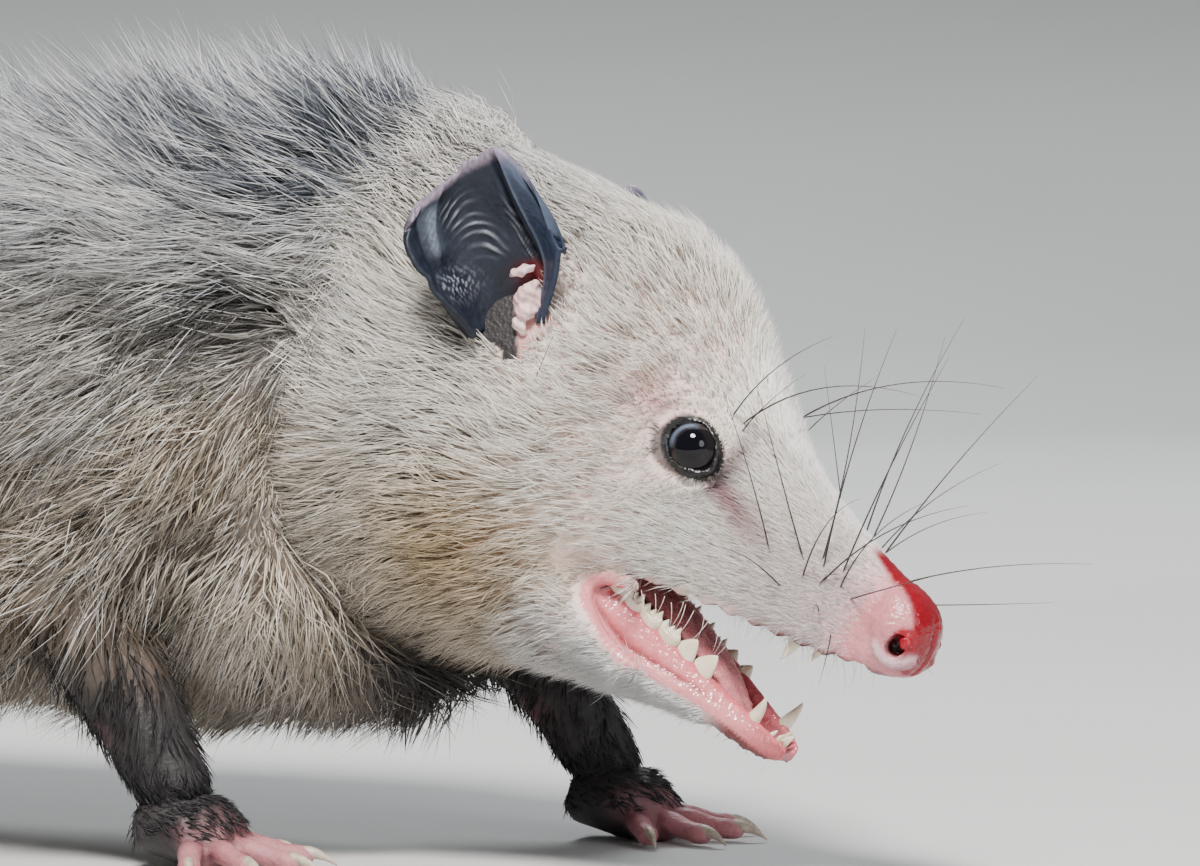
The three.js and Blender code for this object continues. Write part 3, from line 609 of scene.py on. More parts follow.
def make_head():
    places = np.concatenate([np.linspace(9, 69.8, 62), [75], np.linspace(76.5, 138, 52)])
    skull = lofted([head_ring(s, 120) for s in places])
    back = lofted(
        [head_ring(138, 60) * [0, k, k] + [-138 - d, 0, 0] for k, d in ((1, -1), (0.97, 5), (0.8, 14))]
    )
    nose = lofted([nose_ring(s, 72) for s in np.concatenate([[-0.5, -0.25], np.linspace(0, 10, 21)])])
    jaw_places = np.concatenate([np.linspace(8, 80, 73), [81, 82, 82.7, 83]])
    jaw = lofted([jaw_ring(x) for x in jaw_places])
    pieces = [skull, back, nose, (from_jaw(jaw[0]), jaw[1]), *mouth_corner(-1), *mouth_corner(1)]
    points, faces = joined(pieces)
    head = remeshed(object_of("skin", from_head(points), faces), 0.66, 3)
    for side in (-1, 1):
        centre, out, along, over = eye_frame(side)
        turn = np.stack([along, over, out], 1)
        if np.linalg.det(turn) < 0:
            turn[:, 1] *= -1
        add(head, ball(centre + out * 6.2, [6.6, 6.1, 3.6], turn, 20, 32), "DIFFERENCE")
        add(head, lid_rim(side), "UNION")
    remeshed(head, 0.68, 2)
    for side in (-1, 1):
        socket = ball(eye_frame(side)[0], [EYE_RADIUS + 0.08] * 3, None, 28, 40)
        nostril = ball([-3.9, side * 7.0, -0.3], [2.15, 2.7, 2.8], turned("Y", 0.3))
        knob = ball([-2.5, side * 5.9, 1.0], [1.6, 1.75, 1.7])
        for piece, kind in ((socket, "DIFFERENCE"), (nostril, "DIFFERENCE"), (knob, "UNION")):
            add(head, piece, kind)
    shape_face(head)
    return head


def shape_face(head):
    """Folds round the eyes, the nose's groove, knobs and rims, and the palate's ridges."""
    p, n = points_of(head), normals_of(head)
    q = to_head(p)
    s, y, z = parts(q)
    move = np.zeros(len(p))
    for side in (-1, 1):
        centre, out, along, over = eye_frame(side)
        d = q - centre
        u, v = d @ along, d @ over
        far = np.hypot(u / 1.12, v)
        on = smooth(-2, 2, d @ out)
        way = np.arctan2(v, u)
        upper = 0.5 - 0.5 * np.sin(way) * side
        move += on * 0.5 * hill(far, 9.4, 1.7) * (0.4 + 0.6 * upper)
        move -= on * 0.35 * hill(far, 7.4, 0.7)
        move += 0.75 * hill(np.linalg.norm(q - [-7.7, side * 8, 1.8], axis=1), 0, 2.2)
        ring = np.hypot(s - 4.0, z + 0.2)
        move += 0.55 * hill(ring, 4.0, 0.9) * smooth(0.5, -2.5, z) * (y * side > 3)
        move -= 0.3 * hill(ring, 5.6, 0.6) * smooth(0.5, -2.5, z) * (y * side > 3)
    move -= 0.75 * hill(y, 0, 0.55) * smooth(6, 1, s) * smooth(9, 4, z)
    lumps = np.sin(2.1 * s + 1.3 * z) * np.sin(1.9 * z - 0.7 * y) + 0.6 * np.sin(3.7 * s - 2.9 * z)
    move += 0.09 * lumps * smooth(24, 12, s) * smooth(0, 3, np.abs(y))
    palate = (s < 72) * (s > 12) * (n @ HEAD_TURN[:, 2] < -0.3) * (z > at(LIP_LINE, s) + 2)
    move += palate * 0.45 * np.sin(s * 2 * math.pi / 5.2 - np.abs(y) * 0.25)
    set_points(head, p + n * move[:, None])


# Body


def trunk_point(x, a, coat):
    """Points of the trunk over its skin. a is the angle round it, 0 at the left and a half pi on top."""
    inside = np.clip(x, TRUNK_BACK, TRUNK_FRONT)
    width, top, low = at(TRUNK_WIDTH, inside), at(TRUNK_TOP, inside), at(TRUNK_LOW, inside)
    share = mix(BELLY_COAT, 1, np.minimum(1, 0.75 + 0.6 * np.sin(a)))
    depth = coat * at(COAT_DEPTH, inside) * share
    middle = (top + low) / 2 - 4
    high = np.where(np.sin(a) > 0, top - middle, middle - low)
    y = (width + depth) * power(np.cos(a), 0.92)
    z = middle + (high + depth) * power(np.sin(a), 0.92)
    return np.stack(np.broadcast_arrays(x, y, z), -1)


def neck_point(t, a, coat):
    """Points of the neck, from the trunk's front at t 0 to the nape at 1."""
    base = trunk_point(float(TRUNK_FRONT), a, coat)
    width, top, mid, low = (at(t_, HEAD_LENGTH) for t_ in (HEAD_WIDTH, HEAD_TOP, HEAD_MID, THROAT))
    over = 4 * (coat - 1)
    high = np.where(np.sin(a) > 0, top - mid + over, mid - low + over)
    y, z = (width + over) * power(np.cos(a), 0.92), mid + high * power(np.sin(a), 0.92)
    nape = from_head(np.stack([np.full(len(a), -float(HEAD_LENGTH)), y, z], -1))
    ruff = np.where(np.sin(a) < 0, 5 - 9 * np.sin(a), 5)
    swell = ruff * math.sin(math.pi * t) * (0.4 + 0.6 * coat)
    chest = CHEST * max(0, math.sin(math.pi * t)) * np.maximum(0, -np.sin(a)) ** 1.5
    bulge = np.stack([chest, swell * np.cos(a), swell * np.sin(a)], -1)
    return mix(base, nape, t) + bulge


def limb(start, end, radii, flat):
    """A leg's upper or lower part, with round ends that reach past its joints."""
    way = end - start
    length = np.linalg.norm(way)
    share = np.array([-0.75, -0.5, -0.2, 0, 0.25, 0.5, 0.75, 1, 1.3, 1.6, 1.8])
    part = np.array([0.5, 0.8, 0.97, 1, 1.01, 0.98, 0.98, 1, 0.93, 0.72, 0.45])
    beyond = np.where(share < 0, share * radii[0], share * length)
    beyond = np.where(share > 1, length + (share - 1) * radii[1], beyond)
    path = start + way * (beyond / length)[:, None]
    taper = mix(radii[0], radii[1], np.clip(share, 0, 1))
    return lofted(tube(path, part * taper, 20, flat))


def leg_joints(leg):
    return [np.array(p, float) * [1, leg["side"], 1] for p in leg["joints"]]


def make_body():
    a = np.arange(72) * 2 * math.pi / 72
    xs = np.concatenate([[TRUNK_FRONT], np.linspace(2, -278, 50), [TRUNK_BACK]])
    pieces = [lofted([trunk_point(x, a, 0.0) for x in xs])]
    pieces.append(lofted([neck_point(t, a, 0.0) for t in np.linspace(-0.12, 1.0, 14)]))
    for legs, upper, lower in ((FORE, (22, 18), (16, 10.5)), (HIND, (32, 21), (17, 9.5))):
        for leg in legs:
            top, bend, end = leg_joints(leg)
            for a, b, radii, flat in ((top, bend, upper, 0.8), (bend, end, lower, 0.95)):
                pieces.append(limb(a, b, [r - LEG_FUR for r in radii], flat))
    body = object_of("body", *joined(pieces))
    return remeshed(body, 1.9, 6)


def digit(root, angle, length, radius, clawed):
    """A toe's rings, and its claw's or None: knuckles, a round pad at the tip, a bend to the floor."""
    way = np.array([math.cos(angle), math.sin(angle), 0])
    across = np.array([-way[1], way[0], 0])
    share = np.array([0, 0.2, 0.38, 0.55, 0.7, 0.85, 0.97, 1.04])
    high = radius * np.array([1.76, 1.7, 1.56, 1.3, 1.05, 0.95, 0.78, 0.66])
    thick = radius * np.array([1, 0.88, 0.96, 0.86, 0.8, 0.9, 0.7, 0.36])
    path = np.array(root, float) * [1, 1, 0] + way * (length * share)[:, None]
    path[:, 2] = high
    toe = lofted(tube(path, thick, 14, 0.92, across))
    if not clawed:
        return toe, None
    t = np.linspace(0, 1, 9)
    nail = np.array(root, float) * [1, 1, 0] + way * (length * (0.9 + 0.42 * t))[:, None]
    nail[:, 2] = radius * (1.12 + 0.35 * t - 1.25 * t**2)
    return toe, lofted(tube(nail, radius * (0.46 - 0.42 * t**1.3), 10, 1.2, across))


def foot_parts():
    """The flesh of each foot, and the claws of all."""
    feet, claws = [], []
    for leg in FORE:
        x, y = leg_joints(leg)[2][:2]
        turn = math.radians(leg["turn"])
        palm_path = curve([[x - 6, y, 9], [x + 4, y, 8.4], [x + 14, y, 5]], 9)
        palm = np.interp(np.linspace(0, 3, 9), range(4), [8.3, 10.6, 11.4, 7])
        pieces = [lofted(tube(palm_path, palm, 20, 0.7))]
        for spread, length in zip((-58, -27, 0, 27, 60), (13, 17, 18.5, 17, 13)):
            angle = math.radians(spread) + turn
            root = [x + 5 + 7 * math.cos(angle), y + 9 * math.sin(angle), 0]
            toe, claw = digit(root, angle, length, 2.9, True)
            claws.append(claw)
            pad = [x + 7 + 7.5 * math.cos(angle), y + 8 * math.sin(angle), 2.6]
            pieces += [toe, ball(pad, [3.2, 3.2, 2.7], None, 10, 14)]
        feet.append(joined(pieces))
    for leg in HIND:
        x, y = leg_joints(leg)[2][:2]
        turn = math.radians(leg["turn"])
        c, q = math.cos(turn), math.sin(turn)

        def ahead(d, w=0.0):
            return [x + d * c - w * q, y + d * q + w * c]

        sole_path = curve([[*ahead(d), z] for d, z in ((-9, 8), (8, 8.4), (26, 6.4), (38, 4))], 13)
        sole = np.interp(np.linspace(0, 4, 13), range(5), [7, 9.4, 10.2, 10.8, 6.6])
        pieces = [lofted(tube(sole_path, sole, 20, 0.66))]
        for spread, length in zip((-24, -8, 8, 24), (16, 18, 18, 15)):
            root = ahead(31, 0.34 * spread)
            toe, claw = digit([*root, 0], math.radians(spread) + turn, length, 3, True)
            claws.append(claw)
            pieces += [toe, ball([*root, 2.5], [3.4, 3.1, 2.6], None, 10, 14)]
        side = leg["side"]
        toe, _ = digit([*ahead(20, -side * 6), 0], turn - side * math.radians(78), 17, 3.6, False)
        pieces.append(toe)
        feet.append(joined(pieces))
    return feet, claws


# Tail


TAIL_PATH = TAIL_POINTS + [
    [TAIL_BEND_X - TAIL_BEND_RADIUS * math.sin(turn), TAIL_BEND_Y - TAIL_BEND_RADIUS * math.cos(turn), 8]
    for turn in np.radians(np.linspace(4, 144, 8))
]
TAIL_LINE, TAIL_RUN = curve(TAIL_PATH, 1200), fine_curve(TAIL_PATH)[1][-1]
TAIL_TIP = TAIL_LENGTH + np.array([0, 1, 1.8, 2.2])


def tail_radius(d):
    return mix(16, 2.6, np.clip(np.asarray(d, float) / TAIL_LENGTH, 0, 1) ** 0.72)


def tail_middle(d):
    d = np.asarray(d, float)
    place = np.linspace(0, TAIL_RUN, len(TAIL_LINE))
    p = np.stack([np.interp(np.maximum(0, d), place, TAIL_LINE[:, k]) for k in range(3)], -1)
    low = tail_radius(d) - 0.35
    p[..., 2] = np.where(d > TAIL_DOWN, low, np.maximum(p[..., 2], low))
    return p


def tail_frame(d):
    """The tail's middle, and the ways ahead, to its side and up."""
    ahead = unit(tail_middle(d + 1) - tail_middle(d - 1))
    side = unit(np.cross([0, 0, 1], ahead))
    return tail_middle(d), ahead, side, np.cross(ahead, side)


def make_tail():
    """The tail: rings of small overlapping scales, staggered, finer to the tip."""
    d = np.concatenate([np.arange(0, TAIL_LENGTH, 0.55), TAIL_TIP])
    middle, _, side, up = tail_frame(d)
    sides = 44
    c, q = circle(sides)
    turn = np.arange(sides) / sides
    row = d / 2.3
    count = 22
    stagger = (np.floor(row) % 2) * 0.5
    across = np.abs(((turn[None] * count + stagger[:, None]) % 1) - 0.5) * 2
    along = row % 1
    plate = 0.34 * (1 - across**2) * (0.25 + 0.75 * along[:, None]) - 0.16
    bare = smooth(38, 62, d)[:, None]
    size = tail_radius(d) * np.where(d > TAIL_LENGTH, np.interp(d, TAIL_TIP, [1, 0.85, 0.55, 0.2]), 1)
    size = size - 1.2 * (1 - smooth(20, 60, d))
    slim = np.minimum(1, size / 6)[:, None]
    radius = size[:, None] + plate * bare * slim
    around = side[:, None] * c[:, None] + up[:, None] * q[:, None]
    return lofted(on_floor(middle[:, None] + radius[..., None] * around))


# Markings, shared by the skin and the coat

CREAM, WHITE, SILVER, BLUE_GREY, BLACK, TAN, BROWN, STAIN, PINK, LILAC, RED, GUM, LIP, PURPLE = np.array(
    [
        [0.84, 0.765, 0.65], [0.91, 0.89, 0.855], [0.52, 0.55, 0.60], [0.16, 0.18, 0.22],
        [0.018, 0.017, 0.018], [0.42, 0.31, 0.19], [0.10, 0.070, 0.045], [0.52, 0.36, 0.16],
        [0.72, 0.31, 0.35], [0.74, 0.62, 0.64], [0.23, 0.001, 0.009], [0.64, 0.15, 0.18],
        [0.76, 0.29, 0.31], [0.16, 0.075, 0.085],
    ]
)


def blend(a, b, share):
    share = np.asarray(share)[..., None]
    return a * (1 - share) + b * share


def layered(colour, *layers):
    """Colours laid over one another, each by its share."""
    for over, share in layers:
        colour = blend(colour, over, share)
    return colour


def lobed(u, v, *reach):
    """A soft round spot, from the distances to its middle and its reach each way."""
    return hill(np.hypot(u / reach[0], v / reach[1]), 0, 1)


def coat_marks(p):
    """Underfur colour, its tip colour, guard hair colour, and the share of white guard hairs."""
    x, z = p[:, 0], p[:, 2]
    back = smooth(112, 140, z)
    patchy = smooth(-0.9, 1.1, np.sin(x * 0.13 + z * 0.07) + np.sin(x * 0.06 - z * 0.15 + 2))
    flank = smooth(116, 88, z) * smooth(-250, -160, x)
    silver = hill(z + 6 * np.sin(x * 0.06), 133, 8)
    dark = hill(z + 4 * np.sin(x * 0.08 + 1), 147, 6)
    spot = hill(x, 20, 22) * hill(z, 117, 9)
    band = hill(x, 54, 16) * hill(z, 106, 22)
    tuft = hill(x, 16, 11) * hill(z, 52, 11)
    throat = smooth(26, 42, x) * smooth(78, 58, z)
    under = layered(
        np.tile(mix(CREAM, SILVER, 0.3), (len(p), 1)), (BLUE_GREY, back),
        (mix(TAN, CREAM, 0.25), 0.85 * flank * mix(0.45, 1, patchy)),
        (BROWN, 0.5 * flank * smooth(0.45, 0.1, patchy)), (mix(SILVER, CREAM, 0.5), 0.75 * silver),
        (BLUE_GREY * 0.45, 0.8 * dark), (BLACK, 0.95 * spot), (CREAM, 0.95 * band),
        (CREAM, 0.85 * tuft), (BLACK * 1.3, 0.95 * throat),
    )
    tip = layered(
        np.tile(BLACK * 1.5, (len(p), 1)), (BROWN, flank), (SILVER, 0.8 * silver), (BLACK, 0.9 * spot),
        (CREAM, 0.9 * band), (CREAM, 0.8 * tuft), (BLACK, 0.95 * throat),
    )
    guard = layered(
        np.tile(WHITE, (len(p), 1)), (mix(CREAM, TAN, 0.3), 0.55 * flank * mix(0.4, 1, patchy)),
        (WHITE, band), (BROWN, 0.75 * throat),
    )
    white = 0.55 - 0.06 * flank + 0.25 * silver - 0.15 * dark - 0.40 * spot + 0.4 * band - 0.35 * throat
    return under, tip, guard, np.clip(white, 0.05, 1)


def face_marks(q):
    """The colour of the short fur of the head, in the head's frame."""
    s, y, z = parts(q)
    out = np.abs(y) > 5
    line = z - (14.7 - (51.3 - s) * 0.56)
    trail = hill(line, 0, mix(2.6, 3.4, smooth(50, 38, s))) * smooth(55, 51, s) * smooth(31, 47, s)
    around = np.hypot((s - EYE_BACK) / 1.1, z - EYE_UP)
    colour = layered(
        np.tile(mix(CREAM, WHITE, 0.7), (len(q), 1)),
        (mix(LILAC, WHITE, 0.25), 0.85 * smooth(50, 24, s) * smooth(16, 5, z)),
        (WHITE, 0.8 * smooth(75, 50, s) * smooth(3.5, 0, np.abs(y) - 2)),
        # the dark corner of the eye, trailing down the muzzle, its lids, and a flushed patch over it
        (mix(PURPLE, PINK, 0.35), 0.85 * trail * out),
        (mix(PURPLE, LILAC, 0.25), 0.85 * lobed(s - 49.8, z - 20, 3.2, 4.8) * out),
        (BLACK * 1.5, 0.9 * lobed(s - 51.2, z - 15.8, 3.0, 3.0) * out),
        (BLACK * 2, 0.85 * smooth(6.2, 5.4, around) * (np.abs(y) > 8)),
        (mix(PURPLE, PINK, 0.6), 0.65 * (hill(s, 68.5, 4.5) * hill(z, 24.5, 3.5)) * out),
        # behind the mouth, the cheek with its stain, the jaw, under the throat, and the crown
        (mix(PURPLE, CREAM, 0.35), 0.55 * lobed(s - 66, z + 13, 7, 4)),
        (mix(STAIN, CREAM, 0.45), 0.5 * (smooth(66, 84, s) * smooth(2, -14, z))),
        (STAIN, 0.7 * (hill(s, 92, 13) * hill(z, -20, 13))),
        (mix(SILVER, WHITE, 0.6), 0.8 * (smooth(-19, -25, z) * smooth(84, 72, s))),
        (mix(BROWN, BLACK, 0.4), 0.9 * (smooth(-30, -46, z) * smooth(84, 100, s))),
        (mix(SILVER, WHITE, 0.45), 0.5 * (smooth(88, 116, s) * smooth(24, 48, z))),
    )
    # painted shade in each ear's mouth and the slit under it: black towards the back, pink skin towards the
    # front
    for ear in EARS.values():
        cup, across = ear_cup(q, ear)
        pink = mix(PINK, CREAM, 0.35)
        colour = layered(
            colour, (BLACK, cup * smooth(-2.6, -1.2, across)), (pink, cup * smooth(-1.2, -2.6, across))
        )
    return colour


def ear_axes(ear):
    """Where an ear stands on the head, and the ways it rises, opens and widens towards its back."""
    root = np.array([-ear["back"], ear["side"] * ear["out"], ear["up"]], float)
    rise = unit(np.array([-0.42, ear["side"] * 0.3, 0.85]))
    face = np.array([0.42, ear["side"] * 0.85, -0.1])
    out = unit(face - np.sum(face * rise) * rise)
    return root, rise, out, np.cross(rise, out) * ear["side"]


def ear_cup(q, ear):
    """1 on the skin in the mouth of an ear and in the slit under it, and how far back each point is."""
    root, rise, out, across = ear_axes(ear)
    d = q - root
    a, r, o = d @ across, d @ rise, d @ out
    wide = mix(9.5, 3.0, smooth(-5, -9, r))
    middle = np.where(r > -5, 0.0, -1.0)
    return ((np.abs(a - middle) < wide) & (r > -11) & (r < 16) & (o > -5.2) & (o < 15)) * 1.0, a


def ear_room(q):
    """How much shorter the fur grows by the front of an ear: 0.3 beside it, 1 away from it."""
    room = np.ones(len(q))
    for ear in EARS.values():
        root, rise, out, across = ear_axes(ear)
        for back, up, off in ((-11, -4, 0), (-12, 8, 0), (-6, -11, 0), (0, 2, -7), (6, 7, -8)):
            far = np.linalg.norm(q - root - across * back - rise * up - out * off, axis=1)
            room = np.minimum(room, mix(0.3, 1, smooth(5, 19, far)))
    return room


def in_head(p):
    """1 on the head and jaw, 0 on the neck, the chest, the body and the legs."""
    q = to_head(p)
    s, y, z = parts(q)
    near = smooth(142, 134, s) * smooth(52, 46, np.abs(y))
    fur = at(FACE_FUR, s)
    width, mid, low = at(HEAD_WIDTH, s) - fur, at(HEAD_MID, s), at(THROAT, s) + fur
    section = (np.abs(y) / width) ** 2.35 + (np.maximum(0, mid - z) / (mid - low)) ** 2.35
    within = np.where(s > 84, smooth(1.16, 1.06, section), z > -52)
    return near * within * (s > -3)


def near_tail(p):
    """The distance along the tail of each point, and how far it is from its middle."""
    d = np.linspace(0, TAIL_LENGTH, 400)
    i, far = nearest(tail_middle(d), p)
    return d[i], far


def corner_line(z):
    """How far back the corner of the mouth lies at each level."""
    path = curve(CORNER, 24)
    return -np.interp(-z, -path[:, 2], path[:, 0])


def head_skin(q, normal):
    """The colour of the head's bare skin and how wet it is. normal is in the head's frame."""
    s, y, z = parts(q)
    fur = face_marks(q)
    # the nose: pink at its sides, red over its front and along its back, dark red painted shade below it,
    # and painted shade deep in each nostril
    wide = at([[0, 6.6], [3, 6.0], [8, 4.5], [14, 3.0], [22, 1.3]], s)
    wedge = smooth(wide + 1.1, wide - 0.7, np.abs(y)) * smooth(21, 17, s) * smooth(-7, -4, z)
    # painted shade: dark red under the nose and along the front of the upper lip
    below = smooth(-6.4, -8.2, z + 0.03 * s) * smooth(40, 30, s)
    flesh = layered(
        fur * [0.92, 0.80, 0.78], (LILAC, 0.5 * smooth(60, 20, s)), (fur * 0.6, smooth(80, 120, s)),
        (mix(PINK, RED, 0.20), smooth(25, 12, s + 0.25 * np.abs(z))),
        (RED, np.clip(wedge + smooth(2.6, 0.9, s), 0, 1)), (RED * 0.45, 0.95 * below),
    )
    wet = np.maximum(0.75 * smooth(16, 8, s), np.maximum(0.9 * wedge, 0.8 * below))
    for side in (-1, 1):
        ring = np.hypot(s - 4.0, z + 0.2)
        rim = hill(ring, 3.9, 1.0) * smooth(0, -2.2, z) * (y * side > 4)
        red = smooth(3.1, 2.2, np.linalg.norm((q - [-2.7, side * 6.8, 1.3]), axis=1))
        # painted shade: near black deep in the nostril
        deep = np.linalg.norm((q - [-4.3, side * 5.7, -0.7]) / [2.0, 1.9, 2.1], axis=1)
        pale = np.array([0.78, 0.60, 0.66])
        flesh = layered(
            flesh, (pale, 0.85 * rim), (RED * 1.3, red), (RED * 0.10, smooth(1.1, 0.8, deep))
        )
    # the jaw: the lip's roll, a groove, the inner lip, gum and floor, with painted shade in the groove, on
    # the lip's walls that face into the mouth and along the top of the far lip
    jx, jy, jz = to_jaw(q).T
    width, edge = at(JAW_WIDTH, jx), at(LIP_EDGE, jx)
    share = np.abs(jy) / width
    ahead = (share < 0.8) | (s < corner_line(z) + 0.6)
    on_jaw = (jx > 8) * (jx < 84) * (share < 1.12) * smooth(-0.7, -0.1, jz - edge) * (jz < 4.5) * ahead
    band = np.where((share > 0.91)[:, None], LIP, mix(LIP, GUM, 0.4))
    band = np.where((share < 0.80)[:, None], GUM, band)
    band = np.where((share < 0.56)[:, None], mix(GUM, RED, 0.4) * 0.7, band)
    # painted shade: a dark red line in the groove between the lip's roll and the inner lip
    band = blend(band, RED * 0.7, 0.8 * hill(share, 0.92, 0.022) * smooth(72, 60, jx))
    # painted shade: the lip's walls that face into the mouth are darkened to 0.12 of their colour
    inward = (np.sign(jy) * normal[:, 1] < -0.35) & (share > 0.8)
    band = np.where(inward[:, None], band * 0.12, band)
    chin = smooth(70, 80, jx)
    band = layered(
        # painted shade: near black along the top of the far lip, on the left side only
        band, (BLACK * 2, 0.85 * (jy > 0) * (share > 0.86) * smooth(76, 68, jx)),
        (mix(PURPLE, PINK, 0.5), 0.6 * chin * (share < 0.6)), (RED, 0.6 * chin * (share > 0.8)),
    )
    flesh = blend(flesh, band, on_jaw)
    wet = np.maximum(wet, on_jaw)
    # painted shade, near black, inside the upper lips, on the palate and on the cheeks
    lip = at(LIP_LINE, s)
    half = at(HEAD_WIDTH, s) - at(FACE_FUR, s)
    down = -normal[:, 2]
    inner = (s > 12) * (s < 74) * smooth(0.90, 0.84, np.abs(y) / half) * (z < lip + 12)
    inner = inner * smooth(-0.2, 0.3, down) * (jz > -1.5)
    flesh = blend(flesh, mix(GUM, RED, 0.5) * 0.05, inner)
    wet = np.maximum(wet, 0.8 * inner)
    # painted shade: near black on the flesh that faces forward at the back of the mouth
    hollow = (s > 56) * (s < 86) * (z < -10) * (normal[:, 0] > 0.2) * (np.abs(y) < 19.5)
    hollow = hollow * (1 - (on_jaw > 0.5)) * (jz > -8) * (share < 0.9)
    flesh = blend(flesh, RED * 0.06, hollow)
    wet = np.maximum(wet, hollow)
    # the lip that turns the corner
    path = curve(CORNER, 24)
    near = (s > 44) & (s < 74) & (z < -8) & (np.abs(y) > 12)
    if near.any():
        d = (np.abs(q[near]) * [-1, 1, -1])[:, None] - path[None]
        far = np.linalg.norm(d, axis=2)
        k, least = far.argmin(1), far.min(1)
        d = d[np.arange(len(k)), k]
        roll = smooth(2.5, 1.7, least) * smooth(-0.5, 0.3, d[:, 0] / np.maximum(least, 0.1))
        roll = roll * np.where(z[near] > -15, smooth(57, 62, s[near]), 1)
        flesh[near] = blend(flesh[near], LIP, roll)
        wet[near] = np.maximum(wet[near], roll)
    edge = hill(z - lip, 0, 1.5) * (s > 12) * (s < 58) * (1 - inner)
    flesh = blend(flesh, mix(PURPLE, PINK, 0.4), 0.8 * edge)
    for side in (-1, 1):
        centre, out, along, over = eye_frame(side)
        u, v = (q - centre) @ along, (q - centre) @ over
        far = np.hypot(u / (1.08 + 0.25 * (u > 0)), v)
        rim = smooth(6.4, 5.8, far) * ((q - centre) @ out > -3) * (np.sign(y) == side)
        flesh = blend(flesh, BLACK * 0.35, rim)
        wet = np.maximum(wet, 0.7 * smooth(5.8, 5.2, far) * (np.sign(y) == side) * (s > 45) * (s < 75))
    return flesh, wet


def skin_marks(p, normal):
    """The skin's colour and how wet it is."""
    colour = coat_marks(p)[0] * 0.35 + BLACK
    head = in_head(p)
    flesh, wet = head_skin(to_head(p), normal @ HEAD_TURN)
    colour = blend(colour, flesh, head)
    wet = wet * head
    # legs go dark, and the toes pink
    low = smooth(34, 22, p[:, 2]) * (1 - head) * (p[:, 0] > -250)
    ends = np.full(len(p), NOWHERE)
    for leg in FORE + HIND:
        x, y = leg_joints(leg)[2][:2]
        reach = np.hypot(p[:, 0] - x, p[:, 1] - y)
        ends = np.where(reach < 60, np.minimum(ends, reach), ends)
    hind = p[:, 0] < -120
    toes = np.where(hind, smooth(20, 36, ends), smooth(10, 21, ends)) * (ends < NOWHERE)
    colour = layered(
        colour, (BLACK * 1.4, smooth(52, 30, p[:, 2]) * (1 - head) * (p[:, 0] > -250)),
        (mix(PINK, PURPLE, 0.3) * 0.85, 0.9 * low * toes),
    )
    tail = p[:, 0] < -262
    if tail.any():
        d, far = near_tail(p[tail])
        on = (far < tail_radius(d) + 3) & (d > 8)
        pale = mix(np.array([0.62, 0.46, 0.38]), CREAM, 0.25)
        shade = smooth(60, 105, d + 9 * np.sin(p[tail, 0] * 0.4))
        scaled = blend(np.tile(BLACK * 2.2, (tail.sum(), 1)), pale, shade)
        colour[tail] = np.where(on[:, None], scaled, colour[tail])
    return np.clip(colour, 0, 1), wet


# The skin, in one piece

skin = make_head()
body_piece = make_body()
FACE, BODY = surface_of(skin), surface_of(body_piece)

feet, claw_parts = foot_parts()
combine(skin, body_piece, "UNION")
for flesh in feet:
    foot = remeshed(object_of("foot", *flesh), 0.8, 4)
    set_points(foot, on_floor(points_of(foot)))
    combine(skin, foot, "UNION")
combine(skin, object_of("tail", *make_tail()), "UNION")
skin_points = on_floor(points_of(skin))
set_points(skin, skin_points)
SKIN = surface_of(skin)
skin_tint, skin_wet = skin_marks(skin_points, normals_of(skin))
paint(skin, "tint", skin_tint)
paint(skin, "wet", skin_wet)
skin.data.materials.clear()
skin.data.materials.append(skin_material())
skin.data.polygons.foreach_set("use_smooth", np.full(len(skin.data.polygons), True))


# Eyes


def make_eye(name, side):
    """An eyeball whose front bulges, with a painted reflection: a pale crescent along the back of its iris.
    """
    centre, out, long_way, _ = eye_frame(side)
    points, faces = ball([0, 0, 0], [EYE_RADIUS] * 3, None, 40, 64)
    look = points @ out
    points = points + out * (0.35 * smooth(0.72, 0.95, look / EYE_RADIUS))[:, None]
    eye = object_of(name, from_head(points + centre), faces)
    ring = np.arccos(np.clip(look / EYE_RADIUS, -1, 1))
    behind = smooth(-0.3, -0.85, unit(points) @ long_way / np.maximum(0.2, np.sin(ring)))
    iris, pupil, gleam = np.array([[0.010, 0.008, 0.009], [0.002, 0.002, 0.004], [0.13, 0.17, 0.24]])
    # painted reflection: a pale blue-grey crescent along the back of the iris
    crescent = hill(ring, 0.66, 0.10) * behind
    tint = np.tile(iris, (len(points), 1))
    paint(eye, "tint", layered(tint, (pupil, smooth(0.62, 0.50, ring)), (gleam, crescent)))
    return eye


def eye_material():
    n = Nodes("eye")
    streaks = n.noise(1400, 3)
    colour = n.blend(n.span(streaks, 0.3, 0.8, 0.0, 0.5), n.attribute("tint"), (0.5, 0.4, 0.4), "MULTIPLY")
    rough = n.span(n.noise(300, 2), 0.3, 0.7, 0.03, 0.06)
    return n.finish(
        Base_Color=colour, Roughness=rough, Specular_IOR_Level=0.25, Coat_Weight=0.15,
        Coat_Roughness=0.02,
    )


# Ears

EAR_ARC = [[-0.15, 7], [0, 9], [0.25, 13], [0.6, 16], [0.85, 17], [1, 17.5]]
EAR_OPEN = [[-0.15, 120], [0, 118], [0.25, 100], [0.6, 84], [0.85, 72], [1, 56]]
# The height of the ear's edge from its front at -1 to its back at 1, and where its crease runs
EAR_EDGE = [
    [-1, 0.42], [-0.85, 0.66], [-0.6, 0.87], [-0.4, 0.97], [-0.2, 1.0], [0.2, 0.94], [0.5, 0.85],
    [0.8, 0.75], [1, 0.65],
]
EAR_CREASE = [[-0.15, -0.80], [0.15, -0.66], [0.5, -0.44], [1, -0.20]]


